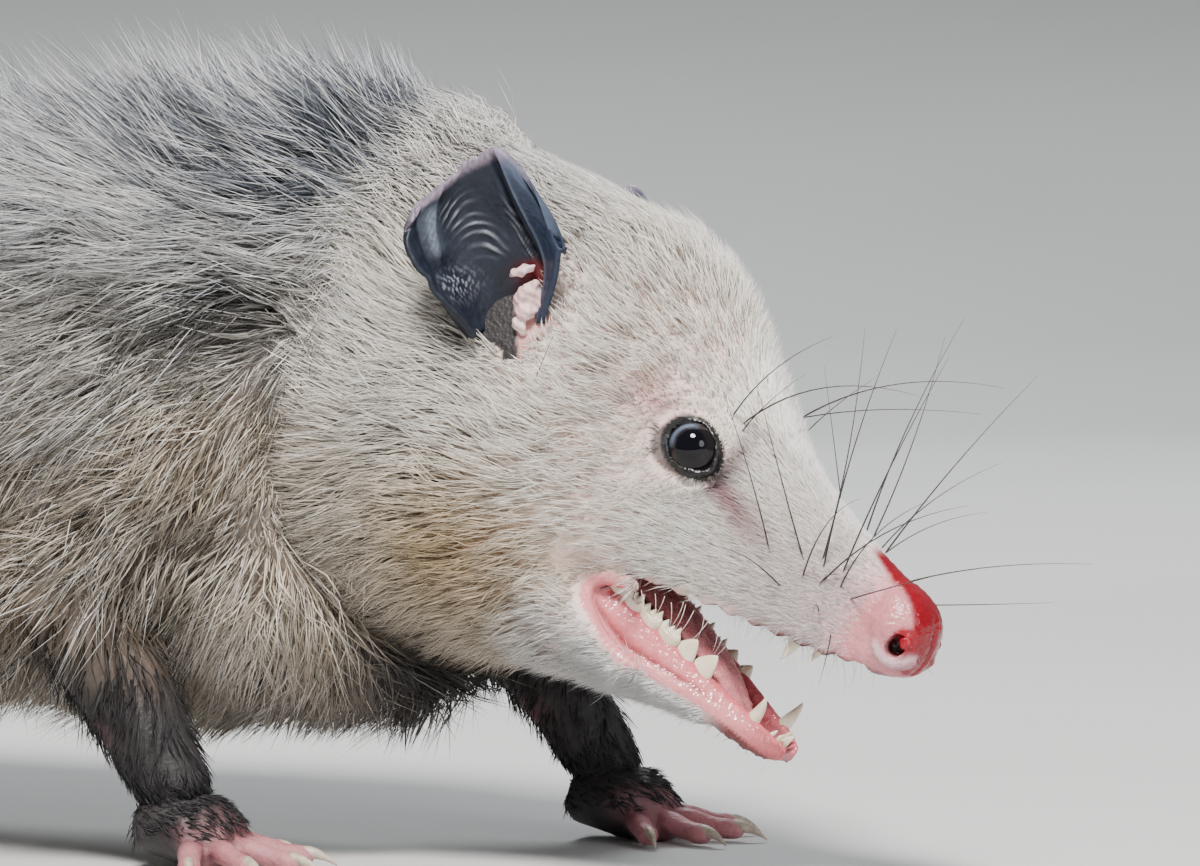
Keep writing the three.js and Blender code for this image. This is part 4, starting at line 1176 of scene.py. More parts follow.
def ear_surface(ear, u, v):
    """The middle of the ear's sheet: u from its front at -1 to its back at 1, v up from its root."""
    root, rise, out, across = ear_axes(ear)
    front = smooth(0.15, -0.35, u)
    opening = np.radians(at(EAR_OPEN, v)) * mix(1, 0.58, front)
    arc = at(EAR_ARC, v) * mix(1, 1.28, front)
    notch = 1 - 0.08 * hill(v, 0.33, 0.08) * smooth(0.6, 1, u)
    tall = mix(1, at(EAR_EDGE, u), smooth(0.0, 0.8, v))
    return (
        root
        + rise * (ear["height"] * 1.04 * v * tall)[..., None]
        + across * (arc * notch * np.sin(opening * u))[..., None]
        + out * (arc * (1 - np.cos(opening * u)) - 4 + 3 * v * v)[..., None]
    )


def ear_ridges(u, v):
    """Two columns of small curved folds across the ear's inner face, as heights from 0 to 1."""
    way = 84 * v + 16 * (u - 0.2) ** 2 * 6 + 1.6 * np.sin(9 * u + 3) + 1.1 * np.sin(23 * v)
    fold = np.clip(np.sin(way) * 1.5 - 0.35, 0, 1)
    uneven = 0.55 + 0.45 * np.sin(31 * v + 5 * u) * np.sin(17 * u - 40 * v)
    rear = hill(u, mix(0.04, 0.36, smooth(0.3, 0.8, v)), 0.125)
    rear = rear * smooth(0.27, 0.36, v) * smooth(0.86, 0.74, v)
    fore = hill(u, at(EAR_CREASE, v) + 0.17, 0.055) * smooth(0.22, 0.3, v) * smooth(0.74, 0.55, v)
    return fold * uneven * np.clip(rear + 0.8 * fore, 0, 1)


def sheet_faces(columns, rows):
    """Faces of a sheet's two sides, and of the rim between them."""
    wide, layer = columns + 1, (columns + 1) * (rows + 1)
    j, i = np.meshgrid(np.arange(rows), np.arange(columns), indexing="ij")
    a = (j * wide + i).ravel()
    first, second = np.stack([a, a + 1, a + wide], -1), np.stack([a + 1, a + wide + 1, a + wide], -1)
    one = np.concatenate([first, second])
    front, back = np.arange(columns), rows * wide + np.arange(columns, 0, -1)
    up, down = np.arange(rows) * wide + columns, np.arange(rows, 0, -1) * wide
    edge = np.concatenate([front, up, back, down])
    after = np.roll(edge, -1)
    rim = np.stack([edge, edge + layer, after], -1), np.stack([after, edge + layer, after + layer], -1)
    return np.concatenate([one, one[:, ::-1] + layer, *rim])


# The ear's front fold, its edge, a pale line along the crease and pale ridges (painted highlights), a patch
# and specks of dust with painted sheen, the worn rim and the cup
EAR_COLOURS = np.array(
    [
        [0.020, 0.028, 0.052], [0.09, 0.115, 0.165], [0.13, 0.16, 0.22], [0.40, 0.42, 0.46],
        [0.15, 0.18, 0.23], [0.40, 0.43, 0.48], [0.34, 0.26, 0.34], [0.09, 0.007, 0.008],
    ]
)


def ear_colour(u, v, inside):
    """The ear's leather, dark, with paler folds and crease edge as painted highlights, a patch and specks
    of dust with painted sheen, a worn edge, and a red cup.
    """
    line = at(EAR_CREASE, v)
    lobe = smooth(line + 0.02, line - 0.06, u)
    # painted highlight: a pale line along the lobe's edge by the crease
    crease = hill(u, line - 0.07, 0.03) * smooth(0.95, 0.8, v)
    dust_and_sheen = np.sin(u * 83 + 4 * np.sin(v * 37)) + np.sin(v * 67 + u * 31 + 3 * np.sin(u * 49))
    dust_and_sheen = 0.5 + 0.25 * dust_and_sheen
    # a pale patch on the rear fold and pale specks on the lower bulge: dust with painted sheen
    patch = hill(u, 0.62, 0.09) * smooth(0.40, 0.50, v) * smooth(0.92, 0.80, v)
    specks = lobed(u - 0.55, v - 0.18, 0.22, 0.09) * smooth(0.55, 0.8, dust_and_sheen)
    worn = smooth(0.90, 0.97, v) * smooth(-0.55, -0.2, u) + 0.5 * smooth(0.975, 1, v)
    cup = smooth(0.29, 0.19, v) * hill(u, -0.42, 0.22) * inside
    shares = (
        lobe, 0.6 * lobe * smooth(0.75, 1, v), 0.6 * crease * inside,
        # the ridges painted pale: painted highlights
        0.55 * np.clip(ear_ridges(u, v) * 1.2, 0, 1) * inside, patch * inside * mix(0.4, 1, dust_and_sheen),
        0.7 * specks * inside, 0.75 * np.clip(worn, 0, 1) * mix(0.5, 1, dust_and_sheen), np.clip(1.4 * cup, 0, 1),
    )
    return layered(np.tile([0.010, 0.013, 0.022], (len(u), 1)), *zip(EAR_COLOURS, shares))


def make_ear(name, ear):
    columns, rows = 104, 116
    u, v = np.meshgrid(np.linspace(-1, 1, columns + 1), np.linspace(-0.15, 1, rows + 1))
    middle = ear_surface(ear, u, v)
    ragged = 0.28 * np.sin(u * 17 + 1) + 0.16 * np.sin(u * 41) + 0.7 * hill(u, 0.3, 0.05)
    _, rise, out, _ = ear_axes(ear)
    middle = middle - rise * (ragged * smooth(0.9, 1, v) * smooth(-0.5, 0, u))[..., None]
    du = ear_surface(ear, u + 0.01, v) - ear_surface(ear, u - 0.01, v)
    dv = ear_surface(ear, u, v + 0.01) - ear_surface(ear, u, v - 0.01)
    normal = unit(np.cross(du, dv))
    inward = normal if np.sum(normal[rows // 2, columns // 2] * out) > 0 else -normal
    crease = at(EAR_CREASE, v)
    lobe = smooth(crease + 0.035, crease - 0.05, u) * smooth(1.02, 0.86, v)
    shape = 1.1 * lobe - 1.3 * hill(u, crease + 0.08, 0.05) * smooth(1, 0.9, v)
    shape += 0.9 * hill(u, 0.66 - 0.1 * v, 0.05) * smooth(0.3, 0.42, v) - 0.8 * hill(u, 0.78, 0.05)
    shape += 1.5 * lobed(u - 0.66, v - 0.17, 0.25, 0.13)
    shape += 0.35 * np.sin(u * 6 + v * 5) + 0.3 * np.sin(v * 9 - u * 4)
    middle = middle + inward * shape[..., None]
    rim = np.minimum(1, (1 - np.abs(u)) / 0.05) * np.minimum(1, (1.0 - v) / 0.03)
    thick = EAR_THICK / 2 * (0.4 + 0.6 * np.sqrt(np.clip(rim, 0, 1)))
    inner = middle + inward * (thick + 0.75 * ear_ridges(u, v))[..., None]
    outer = middle - inward * thick[..., None]
    points = np.concatenate([inner.reshape(-1, 3), outer.reshape(-1, 3)])
    made = object_of(name, from_head(points), outward(points, sheet_faces(columns, rows)))
    inside = np.repeat([1.0, 0.0], u.size)
    paint(made, "tint", ear_colour(np.tile(u.ravel(), 2), np.tile(v.ravel(), 2), inside))
    return made


def ear_lumps(name, ear):
    """The pale folds in the mouth of the ear, towards its front."""
    root, rise, out, across = ear_axes(ear)
    pieces = []
    for back, up, off, radii, lean in (
        (-4.6, 6.4, -0.2, [3.1, 1.6, 1.2], 0.2), (-4.9, 2.0, 1.2, [3.9, 1.8, 1.7], 0.55),
        (-4.2, -1.8, 2.0, [2.2, 1.7, 2.0], -0.3), (-7.2, 0.6, 1.2, [1.0, 1.5, 3.4], 0.1),
        (-2.6, -4.8, 2.2, [1.2, 1.4, 2.4], 0.6), (-5.4, 0.4, 0.8, [2.6, 1.5, 3.0], 0.3),
    ):
        centre = root + across * back + rise * up + out * off
        turn = np.stack([across, out, rise], 1) @ turned("Y", lean)
        pieces.append(ball(centre, radii, turn, 14, 18))
    points, faces = joined(pieces)
    made = remeshed(object_of(name, from_head(points), faces), 0.4, 5)
    p, n = points_of(made), normals_of(made)
    ripple = 0.3 * np.sin(2.3 * p[:, 0] + 1.1 * p[:, 2]) * np.sin(1.7 * p[:, 2] - 1.9 * p[:, 1])
    set_points(made, p + n * (ripple - 0.12)[:, None])
    return made


def ear_material():
    n = Nodes("ear_leather")
    tint = n.attribute("tint")
    mottle = n.noise(300, 5, 0.65)
    colour = n.blend(n.span(mottle, 0.45, 0.75, 0.0, 0.06), tint, (0.16, 0.20, 0.30), "SCREEN")
    wrinkles = n.cells(620)
    grain = n.noise(2600, 3)
    bump = n.bump(grain, 0.0001, 0.5, n.bump(wrinkles, 0.00035, 0.4))
    rough = n.span(mottle, 0.3, 0.7, 0.34, 0.5)
    return n.finish(Base_Color=colour, Roughness=rough, Normal=bump, Specular_IOR_Level=0.3)


# Teeth, tongue


def fang(foot, height, length, width, lean=(0, 0), down=False, curl=0.0):
    """A pointed tooth on an oval foot."""
    way = -1 if down else 1
    t = np.linspace(0, 1, 12)
    size = np.clip(1 - t**1.35, 0, 1) ** 0.75 * 0.98 + 0.02
    c, q = circle(14)
    rise = np.concatenate([[-3.0], t * height])
    thick = np.concatenate([[0.85], size])[:, None]
    bend = np.clip(rise / height, 0, 1) ** 1.6
    middle = np.stack([lean[0] * bend + curl * bend**2, lean[1] * bend, way * rise], -1)
    oval = np.stack([length / 2 * thick * c, width / 2 * thick * q, 0 * thick * c], -1)
    return lofted((np.array(foot, float) + middle)[:, None] + oval)


# Each cusp's place on a tooth, its reach and its height, as shares of the tooth's size
CUSPS = (
    (0.20, 0.1, 0.115, 1.0), (-0.06, 0.16, 0.10, 0.62), (0.38, -0.05, 0.09, 0.5),
    (-0.34, 0.0, 0.11, 0.72),
)


def molar(foot, height, length, width, down=False):
    """A broad tooth with four sharp cusps."""
    way = -1 if down else 1
    sides = 40
    c, q = circle(sides)
    rings = []
    for rise, size in ((-3, 0.9), (0, 1.0), (0.25 * height, 1.03), (0.36 * height, 1.0)):
        rings.append(np.stack([length / 2 * size * c, width / 2 * size * q, np.full(sides, rise)], -1))
    for size in np.linspace(0.94, 0.04, 13):
        x, y = size * c / 2, size * q / 2
        peak = 0
        for ahead, out, reach, high in CUSPS:
            far = np.hypot((x - ahead) / (reach * 1.7), (y - out) / (reach * 3.2))
            peak = np.maximum(peak, high * np.clip(1 - far, 0, 1))
        z = height * (0.36 + 0.64 * peak)
        rings.append(np.stack([length * x, width * y, z], -1))
    rings = np.array(rings)
    rings[..., 2] *= way
    return lofted(rings + np.array(foot, float))


def lower_teeth():
    teeth = []
    for side in (-1, 1):

        def row(x, up):
            return [x, side * at(JAW_WIDTH, x) * 0.68, up]

        sunk = 2.2 if side > 0 else 0.0
        for x in (34.6, 39.8, 44.9, 49.9):
            teeth.append(molar(row(x, 0.1 - sunk), 3.8, 5.9, 3.2))
        teeth.append(fang(row(54.7, -sunk), 4.2, 5.6, 2.5, (0.5, 0)))
        teeth.append(fang(row(59.6, -sunk), 4.6, 5.6, 2.4, (0.8, 0)))
        canine = [73.8, -5.3, -0.5] if side < 0 else [75.2, 6.2, -0.5]
        teeth.append(fang(canine, 6.0, 3.1, 2.6, (0.6, side * 1.3), curl=-1.0))
        for x, y in ((78.4, 3.5), (79.6, 2.3), (80.3, 0.8)):
            teeth.append(fang([x, side * y, -0.9], 2.1, 1.3, 1.0, (0.5, 0)))
    return joined(teeth)


def upper_teeth():
    teeth = []
    for side in (-1, 1):

        def row(s, up=6.3):
            return [-s, side * (at(HEAD_WIDTH, s) * 0.70 - 1.2), at(LIP_LINE, s) + up]

        for s in (13.2, 15, 17, 19):
            teeth.append(fang(row(s, 4.6), 2.6, 1.6, 1.2, (0.2, 0), True))
        teeth.append(fang(row(25.5, 4.2), 6.6, 3.6, 2.8, (-0.6, side * 0.6), True, -0.8))
        for s in (37, 43):
            teeth.append(fang(row(s), 3.2, 4.4, 2.4, (-0.4, 0), True))
        for s in (49, 54.5, 59.5):
            teeth.append(molar(row(s), 2.9, 5.2, 3.8, True))
    return joined(teeth)


def make_tongue():
    spine = ((12, -3.0), (30, 0.6), (46, 1.4), (58, 0.4), (66, -1.6), (71, -2.9))
    path = curve([[x, 0, z] for x, z in spine], 40)
    t = np.linspace(0, 1, 40)
    radii = np.interp(t, [0, 0.3, 0.6, 0.85, 0.95, 1], [7.4, 8.4, 7.2, 5.4, 3.8, 1.2])
    rings = tube(path, radii, 32, 0.34)
    side = np.abs(rings[..., 1])
    dip = 0.7 * hill(side, 0, 1.0) + 0.12 * np.sin(rings[..., 0] * 2.6 + side)
    rings[..., 2] -= np.where(rings[..., 2] > path[:, None, 2], dip, 0)
    return lofted(rings)


# Coat

BLADE_FLAT = 0.5  # a blade's thickness against its width


class Coat:
    """A set of hairs: their roots, normals, lie, length and lift, grown as closed tapering blades."""

    def __init__(self, root, normal, way):
        self.root, self.normal = root, normal
        self.way = unit(way - dot(way, normal) * normal)
        self.side = np.cross(normal, self.way)

    def grow(
        self, length, lift, lift_tip, steps, spread, clump, clump_share, droop=0.0, sink=0.7, tangle=0.0,
        cap=None,
    ):
        """The hairs' middle lines, bent over and drawn together in clumps of about clump hairs.

        lift, lift_tip and spread are in degrees. sink is how deep the roots stand in the skin, and
        cap how high the hairs may rise over it.
        """
        n = len(self.root)
        turn = np.radians(rng.normal(0, spread, n))[:, None]
        way = self.way * np.cos(turn) + self.side * np.sin(turn)
        low = np.radians(np.clip(lift + rng.normal(0, 7, n), 3, 88))[:, None]
        high = np.radians(lift_tip + rng.normal(0, 9, n))[:, None]
        first = way * np.cos(low) + self.normal * np.sin(low)
        last = way * np.cos(high) + self.normal * np.sin(high) + rng.normal(0, 0.10, (n, 3))
        last[:, 2] -= droop
        last = unit(last)
        t = np.asarray(steps)[None, :, None]
        size = length[:, None, None]
        line = self.root[:, None] + size * (t * first[:, None] + t * t / 2 * (last - first)[:, None])
        line = line - self.normal[:, None] * sink
        seeds = rng.permutation(n)[: max(1, n // clump)]
        near = seeds[nearest(self.root[seeds], self.root)[0]]
        stray = rng.normal(0, tangle, (n, 3))
        stray = (stray - dot(stray, self.normal) * self.normal * 0.5)[near]
        line = line + t**1.5 * size * stray[:, None]
        pull = (clump_share * (0.5 + 0.5 * rng.random(n)))[:, None, None] * t**1.3
        far = np.linalg.norm(self.root - self.root[near], axis=1)[:, None, None]
        pull = pull * np.minimum(1, 9 / np.maximum(far, 1))
        line = line + (line[near] - line) * pull
        if cap is not None:
            over = dot(line - self.root[:, None], self.normal[:, None])
            line = line - self.normal[:, None] * 0.9 * np.maximum(0, over - cap[:, None, None])
        self.line = line

    def blades(self, name, width, colours, unwrap, material, taper):
        """One mesh: a three-sided blade along each line, closed at its root and pointed at its tip."""
        line = self.line
        n, k = line.shape[:2]
        ahead = unit(np.gradient(line, axis=1))
        roll = unit(self.normal + rng.normal(0, 0.45, (n, 3)))[:, None]
        side = unit(np.cross(ahead, roll))
        up = np.cross(side, ahead)
        angle = np.radians([90, 210, 330])[None, None, :, None]
        half = (width / 2)[:, None, None, None] * np.asarray(taper)[None, :, None, None]
        across = side[:, :-1, None] * np.cos(angle) + BLADE_FLAT * up[:, :-1, None] * np.sin(angle)
        rings = (line[:, :-1, None] + half * across).reshape(n, -1, 3)
        points = np.concatenate([rings, line[:, -1:]], 1)
        points[..., 2] = np.maximum(points[..., 2], 0.05)
        per = 3 * (k - 1) + 1
        faces = [[0, 2, 1]]
        for r in range(k - 2):
            for i in range(3):
                a, b = 3 * r + i, 3 * r + (i + 1) % 3
                faces += [[a, b, b + 3], [a, b + 3, a + 3]]
        last = 3 * (k - 2)
        faces += [[last + i, last + (i + 1) % 3, per - 1] for i in range(3)]
        faces = (np.array(faces)[None] + (np.arange(n) * per)[:, None, None]).reshape(-1, 3)
        row = np.concatenate([np.repeat(np.arange(k - 1), 3), [k - 1]])
        tint = np.clip(colours[:, row], 0, 1).reshape(-1, 3)
        column = np.concatenate([np.tile([0, 1, 2], k - 1), [1]])
        patch = np.stack([(column / 2 - 0.5) * 0.003, (row / (k - 1) - 0.5) * 0.003], -1)
        spot = 0.01 + 0.98 * np.clip(unwrap(self.root), 0, 1)
        uv = (spot[:, None] + patch[None]).reshape(-1, 2)
        made = object_of(name, points.reshape(-1, 3), faces)
        paint(made, "tint", tint)
        layer = made.data.uv_layers.new(name="OFBake")
        layer.data.foreach_set("uv", uv[faces.ravel()].astype(np.float32).ravel())
        made.data.materials.append(material)
        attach(made, "root")
        return made


def sown(source, density, count, lie):
    """Hairs set at random over a surface, more where the density is high, and combed."""
    points, normals, triangles = source
    corner = points[triangles]
    area = np.linalg.norm(np.cross(corner[:, 1] - corner[:, 0], corner[:, 2] - corner[:, 0]), axis=1)
    weight = area * density(corner.mean(1), unit(normals[triangles].mean(1)))
    chance = np.cumsum(weight) / weight.sum()
    pick = np.searchsorted(chance, rng.random(count))
    a, b = rng.random(count), rng.random(count)
    flip = a + b > 1
    a[flip], b[flip] = 1 - a[flip], 1 - b[flip]
    share = np.stack([1 - a - b, a, b], -1)[..., None]
    root = np.sum(corner[pick] * share, axis=1)
    normal = unit(np.sum(normals[triangles][pick] * share, axis=1))
    return Coat(root, normal, lie(root))


def shades(base, end, n, vary):
    """Colours of each hair's root and tip, each hair a little lighter or darker."""
    lightness = np.exp(rng.normal(0, vary, n))[:, None]
    return base * lightness, end * lightness


def faded(low, high, steps, gate=(0.2, 0.9)):
    """Colours along each hair, from its root's to its tip's."""
    t = smooth(gate[0], gate[1], np.asarray(steps))[None, :, None]
    return low[:, None] * (1 - t) + high[:, None] * t


def body_unwrap(p):
    """The trunk, neck and legs unrolled round the body's long axis."""
    angle = np.arctan2(p[:, 2] - 95, p[:, 1]) / (2 * math.pi) + 0.5
    return np.stack([angle, (p[:, 0] + 300) / 400], -1)


def head_unwrap(p):
    """The head unrolled round its own long axis."""
    s, y, z = parts(to_head(p))
    return np.stack([np.arctan2(z + 4, y) / (2 * math.pi) + 0.5, s / 150], -1)


def leg_far(p):
    """How far each point lies from the nearest lower leg's middle line."""
    best = np.full(len(p), NOWHERE)
    for leg in FORE + HIND:
        _, bend, end = leg_joints(leg)
        way = end - bend
        t = np.clip(((p - bend) @ way) / (way @ way), 0, 1)[:, None]
        best = np.minimum(best, np.linalg.norm(p - bend - t * way, axis=1))
    return best


def body_lie(p):
    """Back and down over the flanks, tousled by slow waves, spreading at the shoulder, down the chest."""
    x, y, z = p.T
    down = 0.30 + 0.60 * smooth(150, 90, z)
    way = np.stack([-np.ones(len(p)), 0.0 * y, -down], -1)
    wave = np.sin(x * 0.11 + 1.3) * np.cos(z * 0.09 + np.sign(y)) + 0.7 * np.sin(x * 0.23 + z * 0.17)
    way[:, 2] += 0.45 * wave
    way[:, 1] += 0.3 * np.cos(x * 0.15 + z * 0.05)
    whorl = 0.75 * hill(x, 22, 22) * hill(z, 96, 24)
    spread = np.stack([x - 30, 0 * y, z - 112], -1)
    way = unit(way) * (1 - whorl)[:, None] + unit(spread) * whorl[:, None]
    hang = (smooth(12, 34, x) * smooth(92, 66, z))[:, None]
    below = (0.6 * smooth(74, 46, z))[:, None]
    way = way * (1 - below) + np.array([-0.35, 0, -1.0]) * below
    return way * (1 - hang) + np.array([-0.12, 0, -1.0]) * hang


def face_lie(p):
    """From the nose back over the face, fanning up the crown and down the cheeks."""
    q = to_head(p)
    s, y, z = parts(q)
    way = np.stack([-np.ones(len(q)), 0.15 * np.sign(y) * smooth(20, 60, s), 0 * s], -1)
    way[:, 2] += -0.5 * smooth(6, -14, z) * smooth(50, 80, s) + 0.15 * smooth(20, 40, z)
    way[:, 2] += 0.25 * np.sin(s * 0.19 + y * 0.12) * smooth(60, 90, s)
    lip = hill(z, at(LIP_LINE, s) + 1.5, 3) * (s < 62)
    way[:, 2] -= 1.1 * lip
    way[:, 0] += 0.7 * lip * smooth(45, 15, s)
    way[:, 2] -= 0.35 * smooth(-19, -25, z) * smooth(84, 72, s)
    for side in (-1, 1):
        centre, out = eye_frame(side)[:2]
        d = q - centre
        far = np.linalg.norm(d, axis=1)
        away = unit(d - (d @ out)[:, None] * out)
        near = hill(far, 7, 5)[:, None]
        way = way * (1 - 0.6 * near) + away * 0.6 * near
    return way @ HEAD_TURN.T


def face_bare(p, normal):
    """The share of full fur on the head: none on the nose, lips, mouth, lids and under the ears."""
    q = to_head(p)
    s, y, z = parts(q)
    wet = head_skin(q, normal @ HEAD_TURN)[1]
    fur = smooth(9, 20, s - 0.2 * np.abs(z - 4)) * (wet < 0.3)
    for ear in EARS.values():
        fur = fur * (1 - ear_cup(q, ear)[0])
    for side in (-1, 1):
        centre, _, long_way, over = eye_frame(side)
        far = np.hypot((q - centre) @ long_way / 1.1, (q - centre) @ over)
        fur = fur * np.where((np.sign(y) == side) & (s > 45) & (s < 75), smooth(4.9, 5.4, far), 1)
    down = -(normal @ HEAD_TURN[:, 2])
    inside = (s < 74) * (np.abs(y) < at(HEAD_WIDTH, s) * 0.88) * (z < at(LIP_LINE, s) + 12) * (down > 0)
    inside = inside * (to_jaw(q)[:, 2] > -1.5)
    return fur * (1 - inside)


def face_length(q):
    """How long the fur of the head is at each place."""
    s, _, z = parts(q)
    size = at([[10, 1.8], [25, 2.8], [45, 4.2], [65, 6.5], [85, 10], [110, 14], [138, 24]], s)
    size = size * (1 + 0.35 * smooth(10, 40, z) * smooth(56, 80, s))
    lip = hill(z, at(LIP_LINE, s) + 0.8, 2.2) * (s < 62) * (s > 16)
    size = size + 2.4 * lip
    jaw = smooth(-19, -25, z) * smooth(84, 72, s)
    size = mix(size, at([[20, 2.2], [40, 5], [60, 7], [80, 9]], s), jaw)
    for side in (-1, 1):
        far = np.linalg.norm(q - eye_frame(side)[0], axis=1)
        size = size * mix(0.35, 1, smooth(6.5, 17, far))
    return size * ear_room(q)


def crown_cap(s, z, over):
    """How high the fur may stand over the head's skin: lower on the crown between the ears."""
    crown = smooth(28, 42, z) * smooth(80, 94, s) * smooth(136, 124, s)
    return mix(at(FACE_FUR, s) + over, 3.6, crown)


def grow_face():
    """The head's fur: short and lying on the muzzle, longer on cheeks and crown, a ruff behind."""
    hair = coat_material("face_fur", 0.55)

    def bare(p, n):
        return face_bare(p, n) * (-to_head(p)[:, 0] < 137)

    def front(p, n):
        return bare(p, n) * smooth(66, 50, -to_head(p)[:, 0])

    def rear(p, n):
        return bare(p, n) * smooth(48, 66, -to_head(p)[:, 0])

    def collar(p, n):
        return bare(p, n) * smooth(88, 122, -to_head(p)[:, 0])

    for part in (1, 2):
        fur = sown(FACE, front, HAIRS["muzzle"], face_lie)
        q = to_head(fur.root)
        s, _, z = parts(q)
        length = face_length(q) * rng.uniform(0.7, 1.25, len(q))
        lip = hill(z, at(LIP_LINE, s) + 1, 2.5) * (s < 62)
        lift = mix(20, 28, smooth(20, 50, s)) + 22 * lip + 14 * smooth(20, 30, z) * smooth(44, 56, s)
        fur.grow(length, lift, lift * 0.8, (0, 1), 12, 6, 0.35, 0.06, 0.15)
        colour = face_marks(q)
        root, tip = shades(colour * 0.90, colour * 1.08, len(q), 0.10)
        width = mix(0.19, 0.27, smooth(25, 60, s)) * rng.uniform(0.8, 1.2, len(q))
        fur.blades(f"face_fur_{part}", width, faded(root, tip, (0, 1)), head_unwrap, hair, (1,))

    steps = (0, 0.5, 1)
    for part in (3, 4):
        fur = sown(FACE, rear, HAIRS["cheek"], face_lie)
        q = to_head(fur.root)
        s, _, z = parts(q)
        length = face_length(q) * rng.uniform(0.75, 1.3, len(q))
        lift = mix(24, 44, smooth(55, 110, s)) + 16 * smooth(16, 40, z)
        fur.grow(length, lift, lift * 0.7, steps, 15, 9, 0.6, 0.10, 0.4, 0.10, crown_cap(s, z, 2.5))
        colour = face_marks(q)
        root, tip = shades(colour * [0.80, 0.76, 0.72], colour * 1.05, len(q), 0.12)
        dark = (rng.random(len(q)) < 0.14 * smooth(76, 120, s))[:, None]
        tip = np.where(dark, tip * 0.3, tip)
        width = mix(0.24, 0.38, smooth(55, 110, s)) * rng.uniform(0.8, 1.2, len(q))
        fur.blades(f"face_fur_{part}", width, faded(root, tip, steps), head_unwrap, hair, (1, 0.8))

    steps = (0, 0.33, 0.68, 1)
    fur = sown(FACE, collar, HAIRS["ruff"], face_lie)
    q = to_head(fur.root)
    s, _, z = parts(q)
    length = mix(12, 27, smooth(94, 134, s)) * rng.uniform(0.7, 1.15, len(q)) * ear_room(q)
    lift = mix(38, 52, smooth(10, 50, z))
    fur.grow(length, lift, lift * 0.55, steps, 18, 9, 0.6, 0.10, 0.7, 0.12, crown_cap(s, z, 4.5))
    colour = mix(face_marks(q), WHITE, 0.4)
    dark = (rng.random(len(q)) < mix(0.10, 0.3, smooth(20, 50, z)))[:, None]
    colour = np.where(dark, BLACK * 2, colour)
    colours = faded(*shades(colour * 0.7, colour, len(q), 0.14), steps, (0.1, 0.6))
    width = rng.uniform(0.22, 0.34, len(q))
    fur.blades("face_ruff", width, colours, head_unwrap, hair, (0.9, 1.0, 0.6))


def grow_body():
    """Dense dark underfur, and long pale guard hairs that stand out of it."""
    hair = coat_material("body_coat", 0.5)

    def density(p, n):
        x, z = p[:, 0], p[:, 2]
        front = mix(1.0, 0.40, smooth(-60, -120, x))
        bare = (leg_far(p) > 15) | (z > 62)
        hidden = (in_head(p) > 0.4) & (-to_head(p)[:, 0] < 130)
        return front * bare * mix(0.55, 1, smooth(-0.8, 0.1, n[:, 2])) * np.where(hidden, 0.0, 1)

    def depth(p):
        belly = smooth(-10, 30, p[:, 2] - 50)
        deep = at(COAT_DEPTH, np.clip(p[:, 0], TRUNK_BACK, 10)) * mix(0.6, 1, belly)
        nape = mix(7, 23, smooth(134, 172, -to_head(p)[:, 0]))
        return np.where(p[:, 2] > 70, np.minimum(deep, nape), deep)

    steps = (0, 0.5, 1)
    for part in (1, 2):
        fur = sown(BODY, density, HAIRS["underfur"], body_lie)
        deep = depth(fur.root)
        n = len(deep)
        ridge = smooth(112, 146, fur.root[:, 2])
        length = deep * rng.uniform(0.85, 1.3, n)
        low, high = mix(46, 62, ridge), mix(22, 46, ridge)
        fur.grow(length, low, high, steps, 15, 14, 0.8, 0.15, 0.7, 0.13, deep + 4)
        under, tip = coat_marks(fur.root)[:2]
        root, end = shades(under, mix(under, tip, 0.75), n, 0.25)
        width = rng.uniform(0.4, 0.7, n)
        colours = faded(root, end, steps, (0.3, 0.95))
        fur.blades(f"underfur_{part}", width, colours, body_unwrap, hair, (0.8, 1.0))

    # two sets that lie in clumps, and one of strays
    steps = (0, 0.45, 1)
    lying, stray = ("guard", 13, 13, 0.75), ("stray", 28, 5, 0.4)
    for part, (kind, *loose) in enumerate((lying, lying, stray), 1):
        fur = sown(BODY, density, HAIRS[kind], body_lie)
        deep = depth(fur.root)
        n = len(deep)
        ridge = smooth(112, 146, fur.root[:, 2])
        length = deep * mix(1.5, 1.42, ridge) * rng.uniform(0.7, 1.15, n)
        low = mix(35, 60, ridge)
        high = low * mix(0.45, 0.78, ridge)
        fur.grow(length, low, high, steps, *loose, 0.10, 0.7, 0.12, deep + mix(5, 9, ridge))
        fur.line[..., 1] += 0.85 * np.maximum(0, -COAT_REACH - fur.line[..., 1])
        under, tip, guard, white = coat_marks(fur.root)
        pale = rng.random(n) < white
        colour = np.where(pale[:, None], guard, mix(under, tip, 0.6))
        silver = (rng.random(n) < 0.35 * ridge)[:, None]
        colour = np.where(silver, SILVER, colour)
        root, end = shades(blend(colour, under, 0.5 + 0.4 * ridge), colour, n, 0.2)
        width = rng.uniform(0.22, 0.38, n)
        colours = faded(root, end, steps, (0.05, 0.75))
        fur.blades(f"guard_hair_{part}", width, colours, body_unwrap, hair, (0.9, 0.9))


def leg_lie(p):
    """Down the legs, and forward over the wrists and ankles."""
    foot = smooth(28, 12, p[:, 2])
    return np.stack([mix(-0.2, 0.9, foot), 0 * foot, mix(-1, -0.35, foot)], -1)


